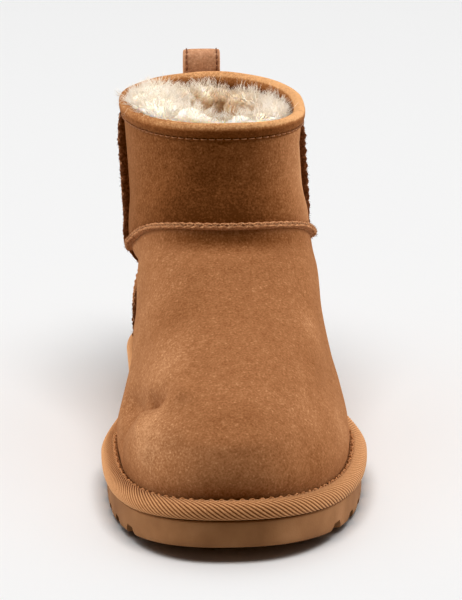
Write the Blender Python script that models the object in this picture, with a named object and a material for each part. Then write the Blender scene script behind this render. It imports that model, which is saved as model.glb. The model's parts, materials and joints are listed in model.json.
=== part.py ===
"""Slipper boot for the left foot: a suede upper with a fleece lining on a moulded sole.

The toe points along -Y, the heel along +Y, and +X is the outer side of the foot.
The origin lies on the floor below the middle of the sole. Sizes are in millimetres
here and become metres where each mesh is made.
"""

import functools
import math
import random
from collections import namedtuple

import bmesh
import bpy
from mathutils import Vector

for old_object in list(bpy.data.objects):
    bpy.data.objects.remove(old_object, do_unlink=True)

METRES_PER_MM = 0.001

# Driving sizes.
SOLE_LENGTH = 262.0
MIDDLE_SHIFT = 2.73        # puts the welt's widest points equally far from the middle
GAP = 0.3                  # left between pieces that touch
CHORD_SLACK = 0.15         # more room where a piece crosses the upper's flat faces
WALL = 2.2                 # suede with its bonded backing
WELT_HEIGHT = 7.2          # rolled tape between the upper and the outsole
WELT_OUTSET = 2.0          # how far the roll stands out past the outsole
INSOLE_THICKNESS = 4.8
FLEECE_AT_TOE = 5.0
FLEECE_AT_COLLAR = 8.0
FLEECE_UNEVENNESS = 0.8
LOCK_LENGTH = 5.2
BINDING_THICKNESS = 1.3
BINDING_OUTER_DROP = 8.0
BINDING_INNER_DROP = 5.0
SEAM_HALF_WIDTH = 1.7
SEAM_HEIGHT = 3.3
COUNTER_THICKNESS = 1.3
TREAD_PITCH = 17.0
TREAD_HALF_WIDTH = 4.0
TREAD_DEPTH = 4.0
HEEL_TREAD = (18.0, 5)         # first groove from the heel end, and how many
FOREFOOT_TREAD = (147.0, 6)
CUTTER_REACH = 80.0            # sideways, past both edges of the sole
CUTTER_BELOW = 4.0             # below the ground

# Standing seams, by distance from the heel end and by height above the feather line.
SIDE_SEAM_TOP = 64.0           # from the heel end, at the collar
SIDE_SEAM_FOOT = 71.0          # and at the welt
SIDE_SEAM_END = 1.0            # height of its lower end
SIDE_SEAM_STEPS = {"shaft": 8, "foot": 9}
INSTEP_SEAM_HEIGHT = 79.0      # at the middle of the instep
INSTEP_SEAM_PAST = 2.6         # how far its ends reach past the side seams
INSTEP_SEAM_SWELL = 1.1        # it stands this many times as high as the side seams
CROSSING_RISE = 1.4            # what it climbs across the width of a side seam
# For each side, how much lower it ends, and how evenly it falls to there from the middle.
InstepEnd = namedtuple("InstepEnd", "side fall arch")
INSTEP_ENDS = {"outer": InstepEnd(1, 26.0, 0.93), "inner": InstepEnd(-1, 31.0, 0.90)}

# Heel counter.
COUNTER_FRONT = 64.0           # distance of its front ends from the heel end
COUNTER_FOOT = 1.0             # height of its lower edge above the feather line
COUNTER_END_HEIGHT = 4.0       # and of its upper edge at the ends, and at the back
COUNTER_BACK_HEIGHT = 46.0
COUNTER_ARCH = 1.8             # roundness of that edge
COUNTER_END_SHARES = (0.95, 0.985, 1.0)    # closer columns where it falls steeply
COUNTER_EVEN_SHARE = 0.93      # up to here the columns follow the upper's own
COUNTER_ROWS = 5

# Pull loop.
LOOP_WIDTH = 16.0
LOOP_THICKNESS = 1.6
LOOP_RISE = 10.0               # top of the loop above the rim
LOOP_EYE = 6.0                 # clear space between its two legs
LOOP_SEWN_DROP = 23.0          # lower end of the loop below the rim
LOOP_KNEE_DROP = 10.0          # below this it lies on the wall and not on the binding
LOOP_KNEE_LENGTH = 3.0         # length over which it comes down to the wall
LOOP_SHOULDER_DROP = 2.0       # where the legs start to draw together
LOOP_HIP = (2.2, 7.0)          # how far the outer leg has come in, at this drop
LOOP_ARC_STEPS = 6
# Foot of the eye: share of the eye from its middle outward, drop below the rim.
EYE_FOOT_NEAR = ((0.0, 7.5), (-0.3, 7.0), (-0.5, 5.0), (-0.5, 2.0))
EYE_FOOT_FAR = ((0.5, 2.0), (0.42, 5.0), (0.3, 7.0), (0.15, 7.4))

# Points round each outline, counted from the back of the heel over the outer side.
AROUND = 48
SIDE_DENSITY = 0.16        # how much closer they lie along the sides than at the ends
LEAST_TURN = 0.05          # least turn between two points of a seam's route
LARGEST_BACK_TURN = 0.6    # furthest turn from the back of the heel that the loop reaches


def turn_of(step):
    """Turn round an outline after a number of steps; half of AROUND is the tip of the toe."""
    even = 2 * math.pi * step / AROUND
    return even + SIDE_DENSITY / 2 * math.sin(2 * even)


TURNS = [turn_of(step) for step in range(AROUND)]

# Curves along the foot: distance from the heel end, then a height or a sideways shift.
FEATHER_HEIGHT = ((0, 24.0), (40, 24.0), (100, 22.0), (165, 19.5), (200, 20.0), (235, 22.5), (262, 26.0))
CENTRE_SWING = ((0, 0.0), (50, 0.7), (120, 4.0), (165, 2.9), (205, 1.0), (262, -3.2))
TOE_SPRING = ((0, 1.4), (14, 0.0), (186, 0.0), (210, 1.2), (232, 3.3), (250, 5.8), (262, 7.6))
ARCH_LIFT = ((86, 0.0), (106, 2.6), (128, 0.0))

# The last, one row for each section from the feather line up to the rim of the collar.
# level: share of the way up; height: above the feather line; front, back: distance from
# the heel end; the halves: half widths at heel, waist and ball; the caps: shares of the
# length that round off at heel and toe; lean: sideways shift of the whole section.
Section = namedtuple(
    "Section", "level height front back heel_half waist_half ball_half heel_cap toe_cap lean")
LAST_SECTIONS = tuple(Section(*row) for row in (
    (0.00, 0.0, 255.0, 7.0, 31.5, 32.5, 47.7, 0.17, 0.60, -0.3),
    (0.09, 9.0, 256.5, 5.5, 33.0, 32.5, 47.7, 0.18, 0.60, -0.5),
    (0.20, 21.0, 252.5, 6.0, 33.5, 32.0, 44.8, 0.20, 0.56, -0.7),
    (0.30, 31.0, 240.0, 8.0, 33.5, 32.3, 41.0, 0.24, 0.53, -0.8),
    (0.40, 42.0, 214.0, 10.5, 33.5, 33.8, 39.0, 0.30, 0.50, -0.4),
    (0.50, 53.0, 184.0, 12.5, 34.0, 35.2, 38.3, 0.36, 0.50, 0.0),
    (0.60, 64.0, 158.0, 14.0, 34.5, 36.4, 37.6, 0.42, 0.50, -0.3),
    (0.72, 78.0, 136.0, 15.0, 35.5, 36.8, 36.8, 0.46, 0.50, -1.2),
    (0.86, 97.0, 127.5, 15.0, 36.0, 36.8, 36.8, 0.50, 0.50, -2.6),
    (1.00, 119.5, 126.0, 16.0, 37.0, 37.4, 37.4, 0.50, 0.50, -3.4),
))
SOLE_SECTION = Section(0.0, 0.0, SOLE_LENGTH, 0.0, 36.0, 38.8, 52.5, 0.17, 0.60, 0.0)
WIDTH_STATIONS = (0.0, 0.16, 0.37, 0.64, 1.0)
HEEL_ROUNDNESS = 2.2
TOE_ROUNDNESS = 2.42
SHAFT_BASE = 22.0          # height under the shaft, where the spring has faded out
SPRING_FADE = 75.0         # height over which it fades
RIM_DROP = 4.5             # the rim is this much lower at the back
# Rows of the outsole's side wall, from the ground up: share of the height, and outset.
SIDE_ROWS = ((0.00, -1.4), (0.12, -0.4), (0.40, 0.0), (0.88, 0.0), (1.00, -0.8))
# Section of the rolled tape: share of the way from the upper to its outer edge, and
# share of its height.
WELT_PROFILE = ((0.00, 0.00), (0.66, 0.00), (0.92, 0.16), (1.00, 0.46),
                (0.92, 0.76), (0.60, 1.00), (0.00, 0.88))
# Section of a seam whose two cut edges stand up side by side: share of the half width,
# share of the height.
SEAM_PROFILE = ((-1.0, 0.0), (-0.95, 0.88), (-0.35, 1.0), (0.0, 0.78),
                (0.35, 1.0), (0.95, 0.88), (1.0, 0.0))

# Rows of the wall, closest together where the vamp turns up into the shaft.
WALL_LEVELS = (0.0, 0.05, 0.10, 0.15, 0.20, 0.25, 0.30, 0.35, 0.40, 0.46,
               0.52, 0.58, 0.64, 0.70, 0.76, 0.82, 0.88, 0.93, 1.0)
LINING_TOP_LEVEL = 0.93
LOCK_START = 14            # row of the wall above which the lining carries locks


# ---- the last -------------------------------------------------------------------------

def smooth_curve(points, x):
    """Value at x of the smooth curve through the points, which never overshoots them."""
    xs = [point[0] for point in points]
    ys = [point[1] for point in points]
    x = min(max(x, xs[0]), xs[-1])
    slopes = [(ys[k + 1] - ys[k]) / (xs[k + 1] - xs[k]) for k in range(len(xs) - 1)]
    tangents = [slopes[0]] + [0.0] * (len(xs) - 2) + [slopes[-1]]
    for k in range(1, len(xs) - 1):
        if slopes[k - 1] * slopes[k] > 0:
            after = 2 * (xs[k + 1] - xs[k]) + (xs[k] - xs[k - 1])
            before = (xs[k + 1] - xs[k]) + 2 * (xs[k] - xs[k - 1])
            tangents[k] = (after + before) / (after / slopes[k - 1] + before / slopes[k])
    k = max(j for j in range(len(xs) - 1) if xs[j] <= x)
    span = xs[k + 1] - xs[k]
    t = (x - xs[k]) / span
    return (ys[k] * (2 * t**3 - 3 * t**2 + 1) + tangents[k] * span * (t**3 - 2 * t**2 + t)
            + ys[k + 1] * (3 * t**2 - 2 * t**3) + tangents[k + 1] * span * (t**3 - t**2))


@functools.lru_cache(maxsize=None)
def section_at(level):
    """The last's section at a level, read smoothly between the rows of its table."""
    return Section(level, *(
        smooth_curve([(row.level, getattr(row, column)) for row in LAST_SECTIONS], level)
        for column in Section._fields[1:]))


def level_at_height(height):
    """The level whose section lies this far above the feather line."""
    low, high = 0.0, 1.0
    while high - low > 1e-5:
        middle = (low + high) / 2
        if section_at(middle).height < height:
            low = middle
        else:
            high = middle
    return low


def round_cap(share, roundness):
    """Share of the full width left at a share of the way out along a rounded end."""
    return max(0.0, 1.0 - share**roundness) ** (1.0 / roundness)


def half_width(section, share):
    """Half width of a section at a share of its length, 0 at the heel and 1 at the toe."""
    widths = (section.heel_half, section.heel_half, section.waist_half,
              section.ball_half, section.ball_half)
    width = smooth_curve(tuple(zip(WIDTH_STATIONS, widths)), share)
    if share < section.heel_cap:
        width *= round_cap((section.heel_cap - share) / section.heel_cap, HEEL_ROUNDNESS)
    if share > section.toe_cap:
        width *= round_cap((share - section.toe_cap) / (1 - section.toe_cap), TOE_ROUNDNESS)
    return width


def plan_point(section, turn):
    """Sideways place and distance from the heel end, a turn round a section's outline."""
    share = (1 - math.cos(turn)) / 2
    along = section.back + (section.front - section.back) * share
    side = 1 if math.sin(turn) >= 0 else -1
    sideways = side * half_width(section, share) + smooth_curve(CENTRE_SWING, along) + section.lean
    return sideways, along


def at(sideways, along, height):
    """Point in the boot's own axes from a distance along the foot."""
    return Vector((sideways - MIDDLE_SHIFT, SOLE_LENGTH / 2 - along, height))


def last_point(turn, level):
    """Point on the outer face of the upper."""
    section = section_at(level)
    sideways, along = plan_point(section, turn)
    share = (1 - math.cos(turn)) / 2
    spring_left = max(0.0, 1 - section.height / SPRING_FADE)
    base = smooth_curve(FEATHER_HEIGHT, along) * spring_left + SHAFT_BASE * (1 - spring_left)
    return at(sideways, along, base + section.height - RIM_DROP * (1 - share) * level**3)


def last_normal(turn, level):
    """Direction straight out of the upper's outer face."""
    step = 0.004
    low = max(level - step, 0.0)
    high = min(level + step, 1.0)
    upward = last_point(turn, high) - last_point(turn, low)
    around = last_point(turn + step, level) - last_point(turn - step, level)
    return upward.cross(around).normalized()


def off_last(turn, level, outset):
    """Point a distance out from the upper's outer face, or inside it where negative."""
    return last_point(turn, level) + last_normal(turn, level) * outset


def turn_at(level, along, side):
    """Turn whose point on a section lies this far from the heel end; side is 1 or -1."""
    section = section_at(level)
    share = (along - section.back) / (section.front - section.back)
    return side * math.acos(1 - 2 * share)


def deck_height(along):
    """Top face of the outsole, on which the upper and the welt stand."""
    return smooth_curve(FEATHER_HEIGHT, along) - WELT_HEIGHT - GAP


def ground_height(along, across):
    """Underside of the outsole; across runs from -1 at the inner edge to 1 at the outer."""
    arch = smooth_curve(ARCH_LIFT, along) * (0.7 - 0.3 * across)
    return smooth_curve(TOE_SPRING, along) + arch


def outline_along(point):
    """Distance from the heel end of a point."""
    return SOLE_LENGTH / 2 - point.y


# ---- meshes ---------------------------------------------------------------------------

def material(name, colour, roughness):
    """Plain material with a linear base colour."""
    made = bpy.data.materials.new(name)
    made.use_nodes = True
    shader = made.node_tree.nodes["Principled BSDF"]
    shader.inputs["Base Color"].default_value = (*colour, 1.0)
    shader.inputs["Roughness"].default_value = roughness
    shader.inputs["Metallic"].default_value = 0.0
    return made


def add_rings(bm, rings):
    """Vertices for each ring of points."""
    return [[bm.verts.new(point * METRES_PER_MM) for point in ring] for ring in rings]


def join_rings(bm, lower, upper):
    """Band of four-sided faces between two rings of the same count."""
    count = len(lower)
    for k in range(count):
        after = (k + 1) % count
        bm.faces.new((lower[k], lower[after], upper[after], upper[k]))


def deck_over(bm, ring, height_of, rows_across):
    """Close a sole outline with rows of faces from side to side."""
    count = len(ring)
    half = count // 2
    columns = []
    for k in range(1, half):
        outer, inner = ring[k], ring[count - k]
        column = [outer]
        for step in range(1, rows_across):
            share = step / rows_across
            place = outer.co.lerp(inner.co, share) / METRES_PER_MM
            place.z = height_of(outline_along(place), 1 - 2 * share)
            column.append(bm.verts.new(place * METRES_PER_MM))
        column.append(inner)
        columns.append(column)
    for one, two in zip(columns, columns[1:]):
        for k in range(rows_across):
            bm.faces.new((one[k], two[k], two[k + 1], one[k + 1]))
    for end, column in ((ring[0], columns[0]), (ring[half], columns[-1])):
        for k in range(rows_across):
            bm.faces.new((end, column[k], column[k + 1]))


def finish(name, bm, surface, smooth=True):
    """Turn a closed mesh into the named object, faces outward."""
    bmesh.ops.recalc_face_normals(bm, faces=bm.faces)
    if bm.calc_volume(signed=True) < 0:
        bmesh.ops.reverse_faces(bm, faces=bm.faces)
    mesh = bpy.data.meshes.new(name)
    bm.to_mesh(mesh)
    bm.free()
    if smooth:
        mesh.shade_smooth()
        mesh.set_sharp_from_angle(angle=math.radians(40))
    mesh.materials.append(surface)
    made = bpy.data.objects.new(name, mesh)
    bpy.context.scene.collection.objects.link(made)
    return made


def closed_sleeve(name, rings, surface):
    """Hollow piece: rings that follow its wall right round and meet again."""
    bm = bmesh.new()
    loops = add_rings(bm, rings)
    for k in range(len(loops)):
        join_rings(bm, loops[k], loops[(k + 1) % len(loops)])
    return finish(name, bm, surface)


def capped_bar(name, rings, surface):
    """Solid bar: rings along its length with a flat face at each end."""
    bm = bmesh.new()
    loops = add_rings(bm, rings)
    for lower, upper in zip(loops, loops[1:]):
        join_rings(bm, lower, upper)
    bm.faces.new(loops[0])
    bm.faces.new(loops[-1])
    return finish(name, bm, surface)


# ---- outsole --------------------------------------------------------------------------

def sole_point(turn, outset):
    """Plan point of the outsole's outline, moved out by an amount."""
    wider = SOLE_SECTION._replace(
        front=SOLE_LENGTH + outset, back=-outset,
        heel_half=SOLE_SECTION.heel_half + outset,
        waist_half=SOLE_SECTION.waist_half + outset,
        ball_half=SOLE_SECTION.ball_half + outset)
    return plan_point(wider, turn)


def side_height(turn, share, along):
    """Height on the outsole's side wall at a share of the way up."""
    across = math.copysign(1.0, math.sin(turn))
    low = ground_height(along, across)
    return low + (deck_height(along) - low) * share


def tread_cutter():
    """V grooves across the sole, one prism each, following the rise of the toe."""
    bm = bmesh.new()
    for first, count in (HEEL_TREAD, FOREFOOT_TREAD):
        for step in range(count):
            along = first + step * TREAD_PITCH
            ground = smooth_curve(TOE_SPRING, along)
            flare = TREAD_HALF_WIDTH * (TREAD_DEPTH + CUTTER_BELOW) / TREAD_DEPTH
            corners = ((0.0, ground + TREAD_DEPTH), (flare, ground - CUTTER_BELOW),
                       (-flare, ground - CUTTER_BELOW))
            ends = add_rings(bm, [[at(side * CUTTER_REACH, along + shift, height)
                                   for shift, height in corners] for side in (-1, 1)])
            join_rings(bm, ends[0], ends[1])
            bm.faces.new(ends[0])
            bm.faces.new(ends[1])
    cutter = finish("tread_cutter", bm, material("cutter", (0.5, 0.5, 0.5), 0.5), smooth=False)
    cutter.hide_render = True
    cutter.display_type = "WIRE"
    return cutter


def build_outsole():
    """Moulded sole with toe spring, arch and grooves that notch its lower edge."""
    bm = bmesh.new()
    rings = []
    for share, outset in SIDE_ROWS:
        ring = []
        for turn in TURNS:
            sideways, along = sole_point(turn, outset)
            ring.append(at(sideways, along, side_height(turn, share, along)))
        rings.append(ring)
    loops = add_rings(bm, rings)
    for lower, upper in zip(loops, loops[1:]):
        join_rings(bm, lower, upper)
    deck_over(bm, loops[0], ground_height, 4)
    deck_over(bm, loops[-1], lambda along, across: deck_height(along), 2)
    sole = finish("outsole", bm, material("moulded_eva", (0.22, 0.11, 0.055), 0.8))
    grooves = sole.modifiers.new("tread grooves", "BOOLEAN")
    grooves.operation = "DIFFERENCE"
    grooves.solver = "EXACT"
    grooves.object = tread_cutter()


# ---- welt -----------------------------------------------------------------------------

def build_welt():
    """Rolled tape that runs right round between the upper and the outsole."""
    rings = []
    for outward, upward in WELT_PROFILE:
        ring = []
        for turn in TURNS:
            inner = off_last_level(turn, GAP)
            sideways, along = sole_point(turn, WELT_OUTSET)
            outer = at(sideways, along, 0.0)
            place = inner.lerp(outer, outward)
            place.z = deck_height(outline_along(place)) + GAP + upward * WELT_HEIGHT
            ring.append(place)
        rings.append(ring)
    closed_sleeve("welt_binding", rings, material("woven_tape", (0.33, 0.17, 0.085), 0.85))


# ---- upper ----------------------------------------------------------------------------

def off_last_level(turn, outset):
    """Point at the feather line, moved straight sideways off the last."""
    direction = last_normal(turn, 0.0)
    direction.z = 0.0
    return last_point(turn, 0.0) + direction.normalized() * outset


def hem_point(turn, outset, height_above_deck):
    """Point on the straight margin of the upper inside the welt, or further in."""
    place = off_last_level(turn, outset)
    place.z = deck_height(outline_along(place)) + height_above_deck
    return place


def build_upper():
    """Hollow suede upper, open at the collar and over the insole."""
    rings = [[hem_point(turn, 0.0, GAP) for turn in TURNS]]
    for level in WALL_LEVELS:
        rings.append([last_point(turn, level) for turn in TURNS])
    for level in reversed(WALL_LEVELS):
        rings.append([off_last(turn, level, -WALL) for turn in TURNS])
    rings.append([hem_point(turn, -WALL, GAP) for turn in TURNS])
    closed_sleeve("upper", rings, material("suede", (0.35, 0.155, 0.063), 0.9))


# ---- insole ---------------------------------------------------------------------------

def build_insole():
    """Fleece-topped board that lies on the outsole inside the upper."""
    bm = bmesh.new()
    lift = {"under": GAP, "over": GAP + INSOLE_THICKNESS}
    loops = add_rings(bm, [[hem_point(turn, -WALL - GAP, lift[face]) for turn in TURNS]
                           for face in ("under", "over")])
    join_rings(bm, loops[0], loops[1])
    deck_over(bm, loops[0], lambda along, across: deck_height(along) + lift["under"], 2)
    deck_over(bm, loops[1], lambda along, across: deck_height(along) + lift["over"], 2)
    finish("insole", bm, material("wool_felt", (0.68, 0.58, 0.44), 0.95))


# ---- fleece lining --------------------------------------------------------------------

def raise_lock(bm, face, length, upward):
    """Draw a face out into a tapered lock of fleece that stays joined to its base."""
    corners = [loop.vert for loop in face.loops]
    middle = face.calc_center_median()
    lean = (face.normal + Vector((0.0, 0.0, upward))).normalized()
    tip = middle + lean * length * METRES_PER_MM
    tips = [bm.verts.new(tip + (corner.co - middle) * 0.35) for corner in corners]
    bm.faces.remove(face)
    count = len(corners)
    for k in range(count):
        after = (k + 1) % count
        bm.faces.new((corners[k], corners[after], tips[after], tips[k]))
    bm.faces.new(tips)


def build_lining():
    """Fleece sleeve inside the upper, lumpy on its inner face, with locks at the collar."""
    chance = random.Random(11)
    levels = [level for level in WALL_LEVELS if level <= LINING_TOP_LEVEL]
    outset = -WALL - GAP
    above_insole = 2 * GAP + INSOLE_THICKNESS

    def thickness(level):
        grown = FLEECE_AT_TOE + (FLEECE_AT_COLLAR - FLEECE_AT_TOE) * level
        return grown + chance.uniform(-FLEECE_UNEVENNESS, FLEECE_UNEVENNESS)

    outer = [[hem_point(turn, outset, above_insole) for turn in TURNS]]
    outer += [[off_last(turn, level, outset) for turn in TURNS] for level in levels]
    inner_levels = levels[:LOCK_START:2] + levels[LOCK_START:]
    inner = [[hem_point(turn, outset - FLEECE_AT_TOE, above_insole) for turn in TURNS]]
    inner += [[off_last(turn, level, outset - thickness(level)) for turn in TURNS]
              for level in inner_levels]
    bm = bmesh.new()
    loops = add_rings(bm, outer + inner[::-1])
    for k in range(len(loops)):
        join_rings(bm, loops[k], loops[(k + 1) % len(loops)])
    bmesh.ops.recalc_face_normals(bm, faces=bm.faces)
    if bm.calc_volume(signed=True) < 0:
        bmesh.ops.reverse_faces(bm, faces=bm.faces)

    bm.faces.ensure_lookup_table()
    top = len(outer) - 1                  # the band of faces that closes the top
    bands = range(top, top + 1 + len(levels[LOCK_START:]) - 1)
    chosen = []
    for band in bands:
        for k in range(band % 2, AROUND, 2):
            chosen.append((bm.faces[band * AROUND + k], band == top))
    for face, on_top in chosen:
        length = LOCK_LENGTH * chance.uniform(0.75, 1.0)
        raise_lock(bm, face, length, 0.0 if on_top else 0.5)
    finish("fleece_lining", bm, material("fleece", (0.78, 0.68, 0.53), 1.0))


# ---- collar binding -------------------------------------------------------------------

def build_collar_binding():
    """Suede strip folded over the rim, with a leg down each face of the wall."""
    outer_level = level_at_height(section_at(1.0).height - BINDING_OUTER_DROP)
    inner_level = level_at_height(section_at(1.0).height - BINDING_INNER_DROP)
    out_near, out_far = GAP, GAP + BINDING_THICKNESS
    in_near, in_far = -WALL - GAP, -WALL - GAP - BINDING_THICKNESS
    crown = GAP + BINDING_THICKNESS
    profile = (
        (out_near, outer_level, 0.0), (out_far, outer_level, 0.0), (out_far, 1.0, 0.0),
        (out_far - 0.6, 1.0, crown * 0.75), (-WALL / 2, 1.0, crown + 0.3),
        (in_far + 0.6, 1.0, crown * 0.75), (in_far, 1.0, 0.0), (in_far, inner_level, 0.0),
        (in_near, inner_level, 0.0), (in_near, 1.0, GAP), (out_near, 1.0, GAP))
    rings = [[off_last(turn, level, outset) + Vector((0.0, 0.0, rise)) for turn in TURNS]
             for outset, level, rise in profile]
    closed_sleeve("collar_binding", rings, material("binding_suede", (0.30, 0.13, 0.055), 0.9))


# ---- raised seams ---------------------------------------------------------------------

def side_seam_along(level):
    """Distance of a side seam from the heel end at a level."""
    return SIDE_SEAM_FOOT + (SIDE_SEAM_TOP - SIDE_SEAM_FOOT) * level


def seam_rings(route, height):
    """Rings of the seam's section along a route of (turn, level) on the upper."""
    places = [last_point(turn, level) for turn, level in route]
    rings = []
    for k, (turn, level) in enumerate(route):
        forward = places[min(k + 1, len(places) - 1)] - places[max(k - 1, 0)]
        outward = last_normal(turn, level)
        sideways = forward.cross(outward).normalized()
        rings.append([places[k] + sideways * share * SEAM_HALF_WIDTH
                      + outward * (GAP + CHORD_SLACK + rise * (height - GAP))
                      for share, rise in SEAM_PROFILE])
    return rings


def build_side_seams(surface):
    """The upright seams: on each side a stretch above the instep seam and one below it."""
    clear = SEAM_HALF_WIDTH + GAP + CHORD_SLACK
    shaft_top = section_at(1.0).height - BINDING_OUTER_DROP - GAP - CHORD_SLACK
    for side_name, (side, fall, _) in INSTEP_ENDS.items():
        crossing = INSTEP_SEAM_HEIGHT - fall
        stretches = {"shaft": (shaft_top, crossing + clear + CROSSING_RISE),
                     "foot": (crossing - clear, SIDE_SEAM_END)}
        for part_name, (upper_end, lower_end) in stretches.items():
            count = SIDE_SEAM_STEPS[part_name]
            route = []
            for step in range(count + 1):
                level = level_at_height(upper_end + (lower_end - upper_end) * step / count)
                route.append((turn_at(level, side_seam_along(level), side), level))
            capped_bar(f"side_seam_{side_name}_{part_name}", seam_rings(route, SEAM_HEIGHT), surface)


def instep_half(end):
    """Route of half the instep seam, from its end beside one side seam to the toe side:
    level while it crosses the side seam, then up over the instep."""
    end_level = level_at_height(INSTEP_SEAM_HEIGHT - end.fall)
    start = turn_at(end_level, side_seam_along(end_level) - INSTEP_SEAM_PAST, 1)
    crossed = turn_at(end_level, side_seam_along(end_level) + SEAM_HALF_WIDTH, 1)
    crossed_share = (1 - math.cos(crossed)) / 2
    between = [turn for turn in TURNS if start + LEAST_TURN < turn <= math.pi + LEAST_TURN]
    route = []
    for turn in [start] + between:
        share = (1 - math.cos(turn)) / 2
        remaining = min(1.0, (1 - share) / (1 - crossed_share))
        height = INSTEP_SEAM_HEIGHT - end.fall * remaining ** end.arch
        route.append((turn if end.side > 0 else 2 * math.pi - turn, level_at_height(height)))
    return route


def build_instep_seam(surface):
    """The seam over the instep that joins vamp and shaft; its ends lap the side seams."""
    route = instep_half(INSTEP_ENDS["outer"])[:-1] + instep_half(INSTEP_ENDS["inner"])[::-1]
    rings = seam_rings(route, SEAM_HEIGHT * INSTEP_SEAM_SWELL)
    capped_bar("instep_seam", rings, surface)


# ---- heel counter ---------------------------------------------------------------------

def build_heel_counter(surface):
    """Suede patch that wraps the heel above the welt, with a curved upper edge."""
    reach = turn_at(0.0, COUNTER_FRONT, 1)
    foot = level_at_height(COUNTER_FOOT)
    steps = [step for step in range(-AROUND // 4, AROUND // 4)
             if abs(turn_of(step)) < COUNTER_EVEN_SHARE * reach]
    shares = [-share for share in reversed(COUNTER_END_SHARES)]
    shares += [turn_of(step) / reach for step in steps]
    shares += COUNTER_END_SHARES

    def face_rows(outset):
        rows = []
        for row in range(COUNTER_ROWS + 1):
            points = []
            for share in shares:
                arch = round_cap(share * share, COUNTER_ARCH)
                height = COUNTER_END_HEIGHT + (COUNTER_BACK_HEIGHT - COUNTER_END_HEIGHT) * arch
                level = foot + (level_at_height(height) - foot) * row / COUNTER_ROWS
                points.append(off_last(reach * share, level, outset))
            rows.append(points)
        return rows

    inner = face_rows(GAP + CHORD_SLACK)
    outer = face_rows(GAP + CHORD_SLACK + COUNTER_THICKNESS)
    rings = [near + far[::-1] for near, far in zip(inner, outer)]
    bm = bmesh.new()
    loops = add_rings(bm, rings)
    for lower, upper in zip(loops, loops[1:]):
        join_rings(bm, lower, upper)
    last = 2 * len(shares) - 1
    for ring in (loops[0], loops[-1]):
        for k in range(len(shares) - 1):
            bm.faces.new((ring[k], ring[k + 1], ring[last - k - 1], ring[last - k]))
    finish("heel_counter", bm, surface)


# ---- pull loop ------------------------------------------------------------------------

def turn_across(level, sideways):
    """Small turn from the back of the heel that moves a point sideways by an amount."""
    low, high = 0.0, LARGEST_BACK_TURN
    middle_x = last_point(0.0, level).x
    while high - low > 1e-5:
        middle = (low + high) / 2
        if abs(last_point(middle, level).x - middle_x) < abs(sideways):
            low = middle
        else:
            high = middle
    return math.copysign(low, sideways) if sideways else 0.0


def loop_profile():
    """Outline and eye of the loop from the side, as outset from the upper and rise above
    the rim; both run from the foot up the near leg, over the top and down the far leg."""
    under = GAP + BINDING_THICKNESS + GAP
    centre = under + LOOP_THICKNESS + LOOP_EYE / 2
    far = centre + LOOP_EYE / 2 + LOOP_THICKNESS
    sewn = GAP + 2 * LOOP_THICKNESS
    wall_drop = LOOP_KNEE_DROP + LOOP_KNEE_LENGTH
    outer_radius = LOOP_EYE / 2 + LOOP_THICKNESS
    top = LOOP_RISE - outer_radius
    outline = [(GAP, -LOOP_SEWN_DROP), (GAP, -wall_drop), (under, -LOOP_KNEE_DROP),
               (under, -LOOP_SHOULDER_DROP)]
    eye = [(centre + share * LOOP_EYE, -drop) for share, drop in EYE_FOOT_NEAR]
    for step in range(LOOP_ARC_STEPS + 1):
        angle = math.pi * (1 - step / LOOP_ARC_STEPS)
        for line, radius in ((outline, outer_radius), (eye, LOOP_EYE / 2)):
            line.append((centre + radius * math.cos(angle), top + radius * math.sin(angle)))
    drawn_in, hip_drop = LOOP_HIP
    outline += [(far, -LOOP_SHOULDER_DROP), (far - drawn_in, -hip_drop),
                (sewn + 2 * GAP, -wall_drop), (sewn, -LOOP_SEWN_DROP)]
    eye += [(centre + share * LOOP_EYE, -drop) for share, drop in EYE_FOOT_FAR]
    return outline, eye


def build_pull_loop():
    """Strap doubled into a loop and sewn to the back of the collar, with an open eye."""
    outline, eye = loop_profile()
    rim_height = section_at(1.0).height

    def place(outset, rise, sideways):
        level = level_at_height(rim_height + min(rise, 0.0))
        seat = last_point(turn_across(level, sideways), level)
        return seat + last_normal(0.0, level) * outset + Vector((0.0, 0.0, max(rise, 0.0)))

    edges = (-LOOP_WIDTH / 2, 0.0, LOOP_WIDTH / 2)
    rings = [[place(outset, rise, edge) for outset, rise in outline] for edge in edges]
    rings += [[place(outset, rise, edge) for outset, rise in eye] for edge in reversed(edges)]
    closed_sleeve("pull_loop", rings, material("strap_suede", (0.33, 0.15, 0.07), 0.9))


build_outsole()
build_welt()
build_upper()
build_insole()
build_lining()
build_collar_binding()
seam_suede = material("cut_edge_suede", (0.18, 0.07, 0.035), 0.9)
build_side_seams(seam_suede)
build_instep_seam(seam_suede)
build_heel_counter(material("counter_suede", (0.33, 0.145, 0.06), 0.9))
build_pull_loop()
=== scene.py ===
import json
import math
from collections import namedtuple

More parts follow.
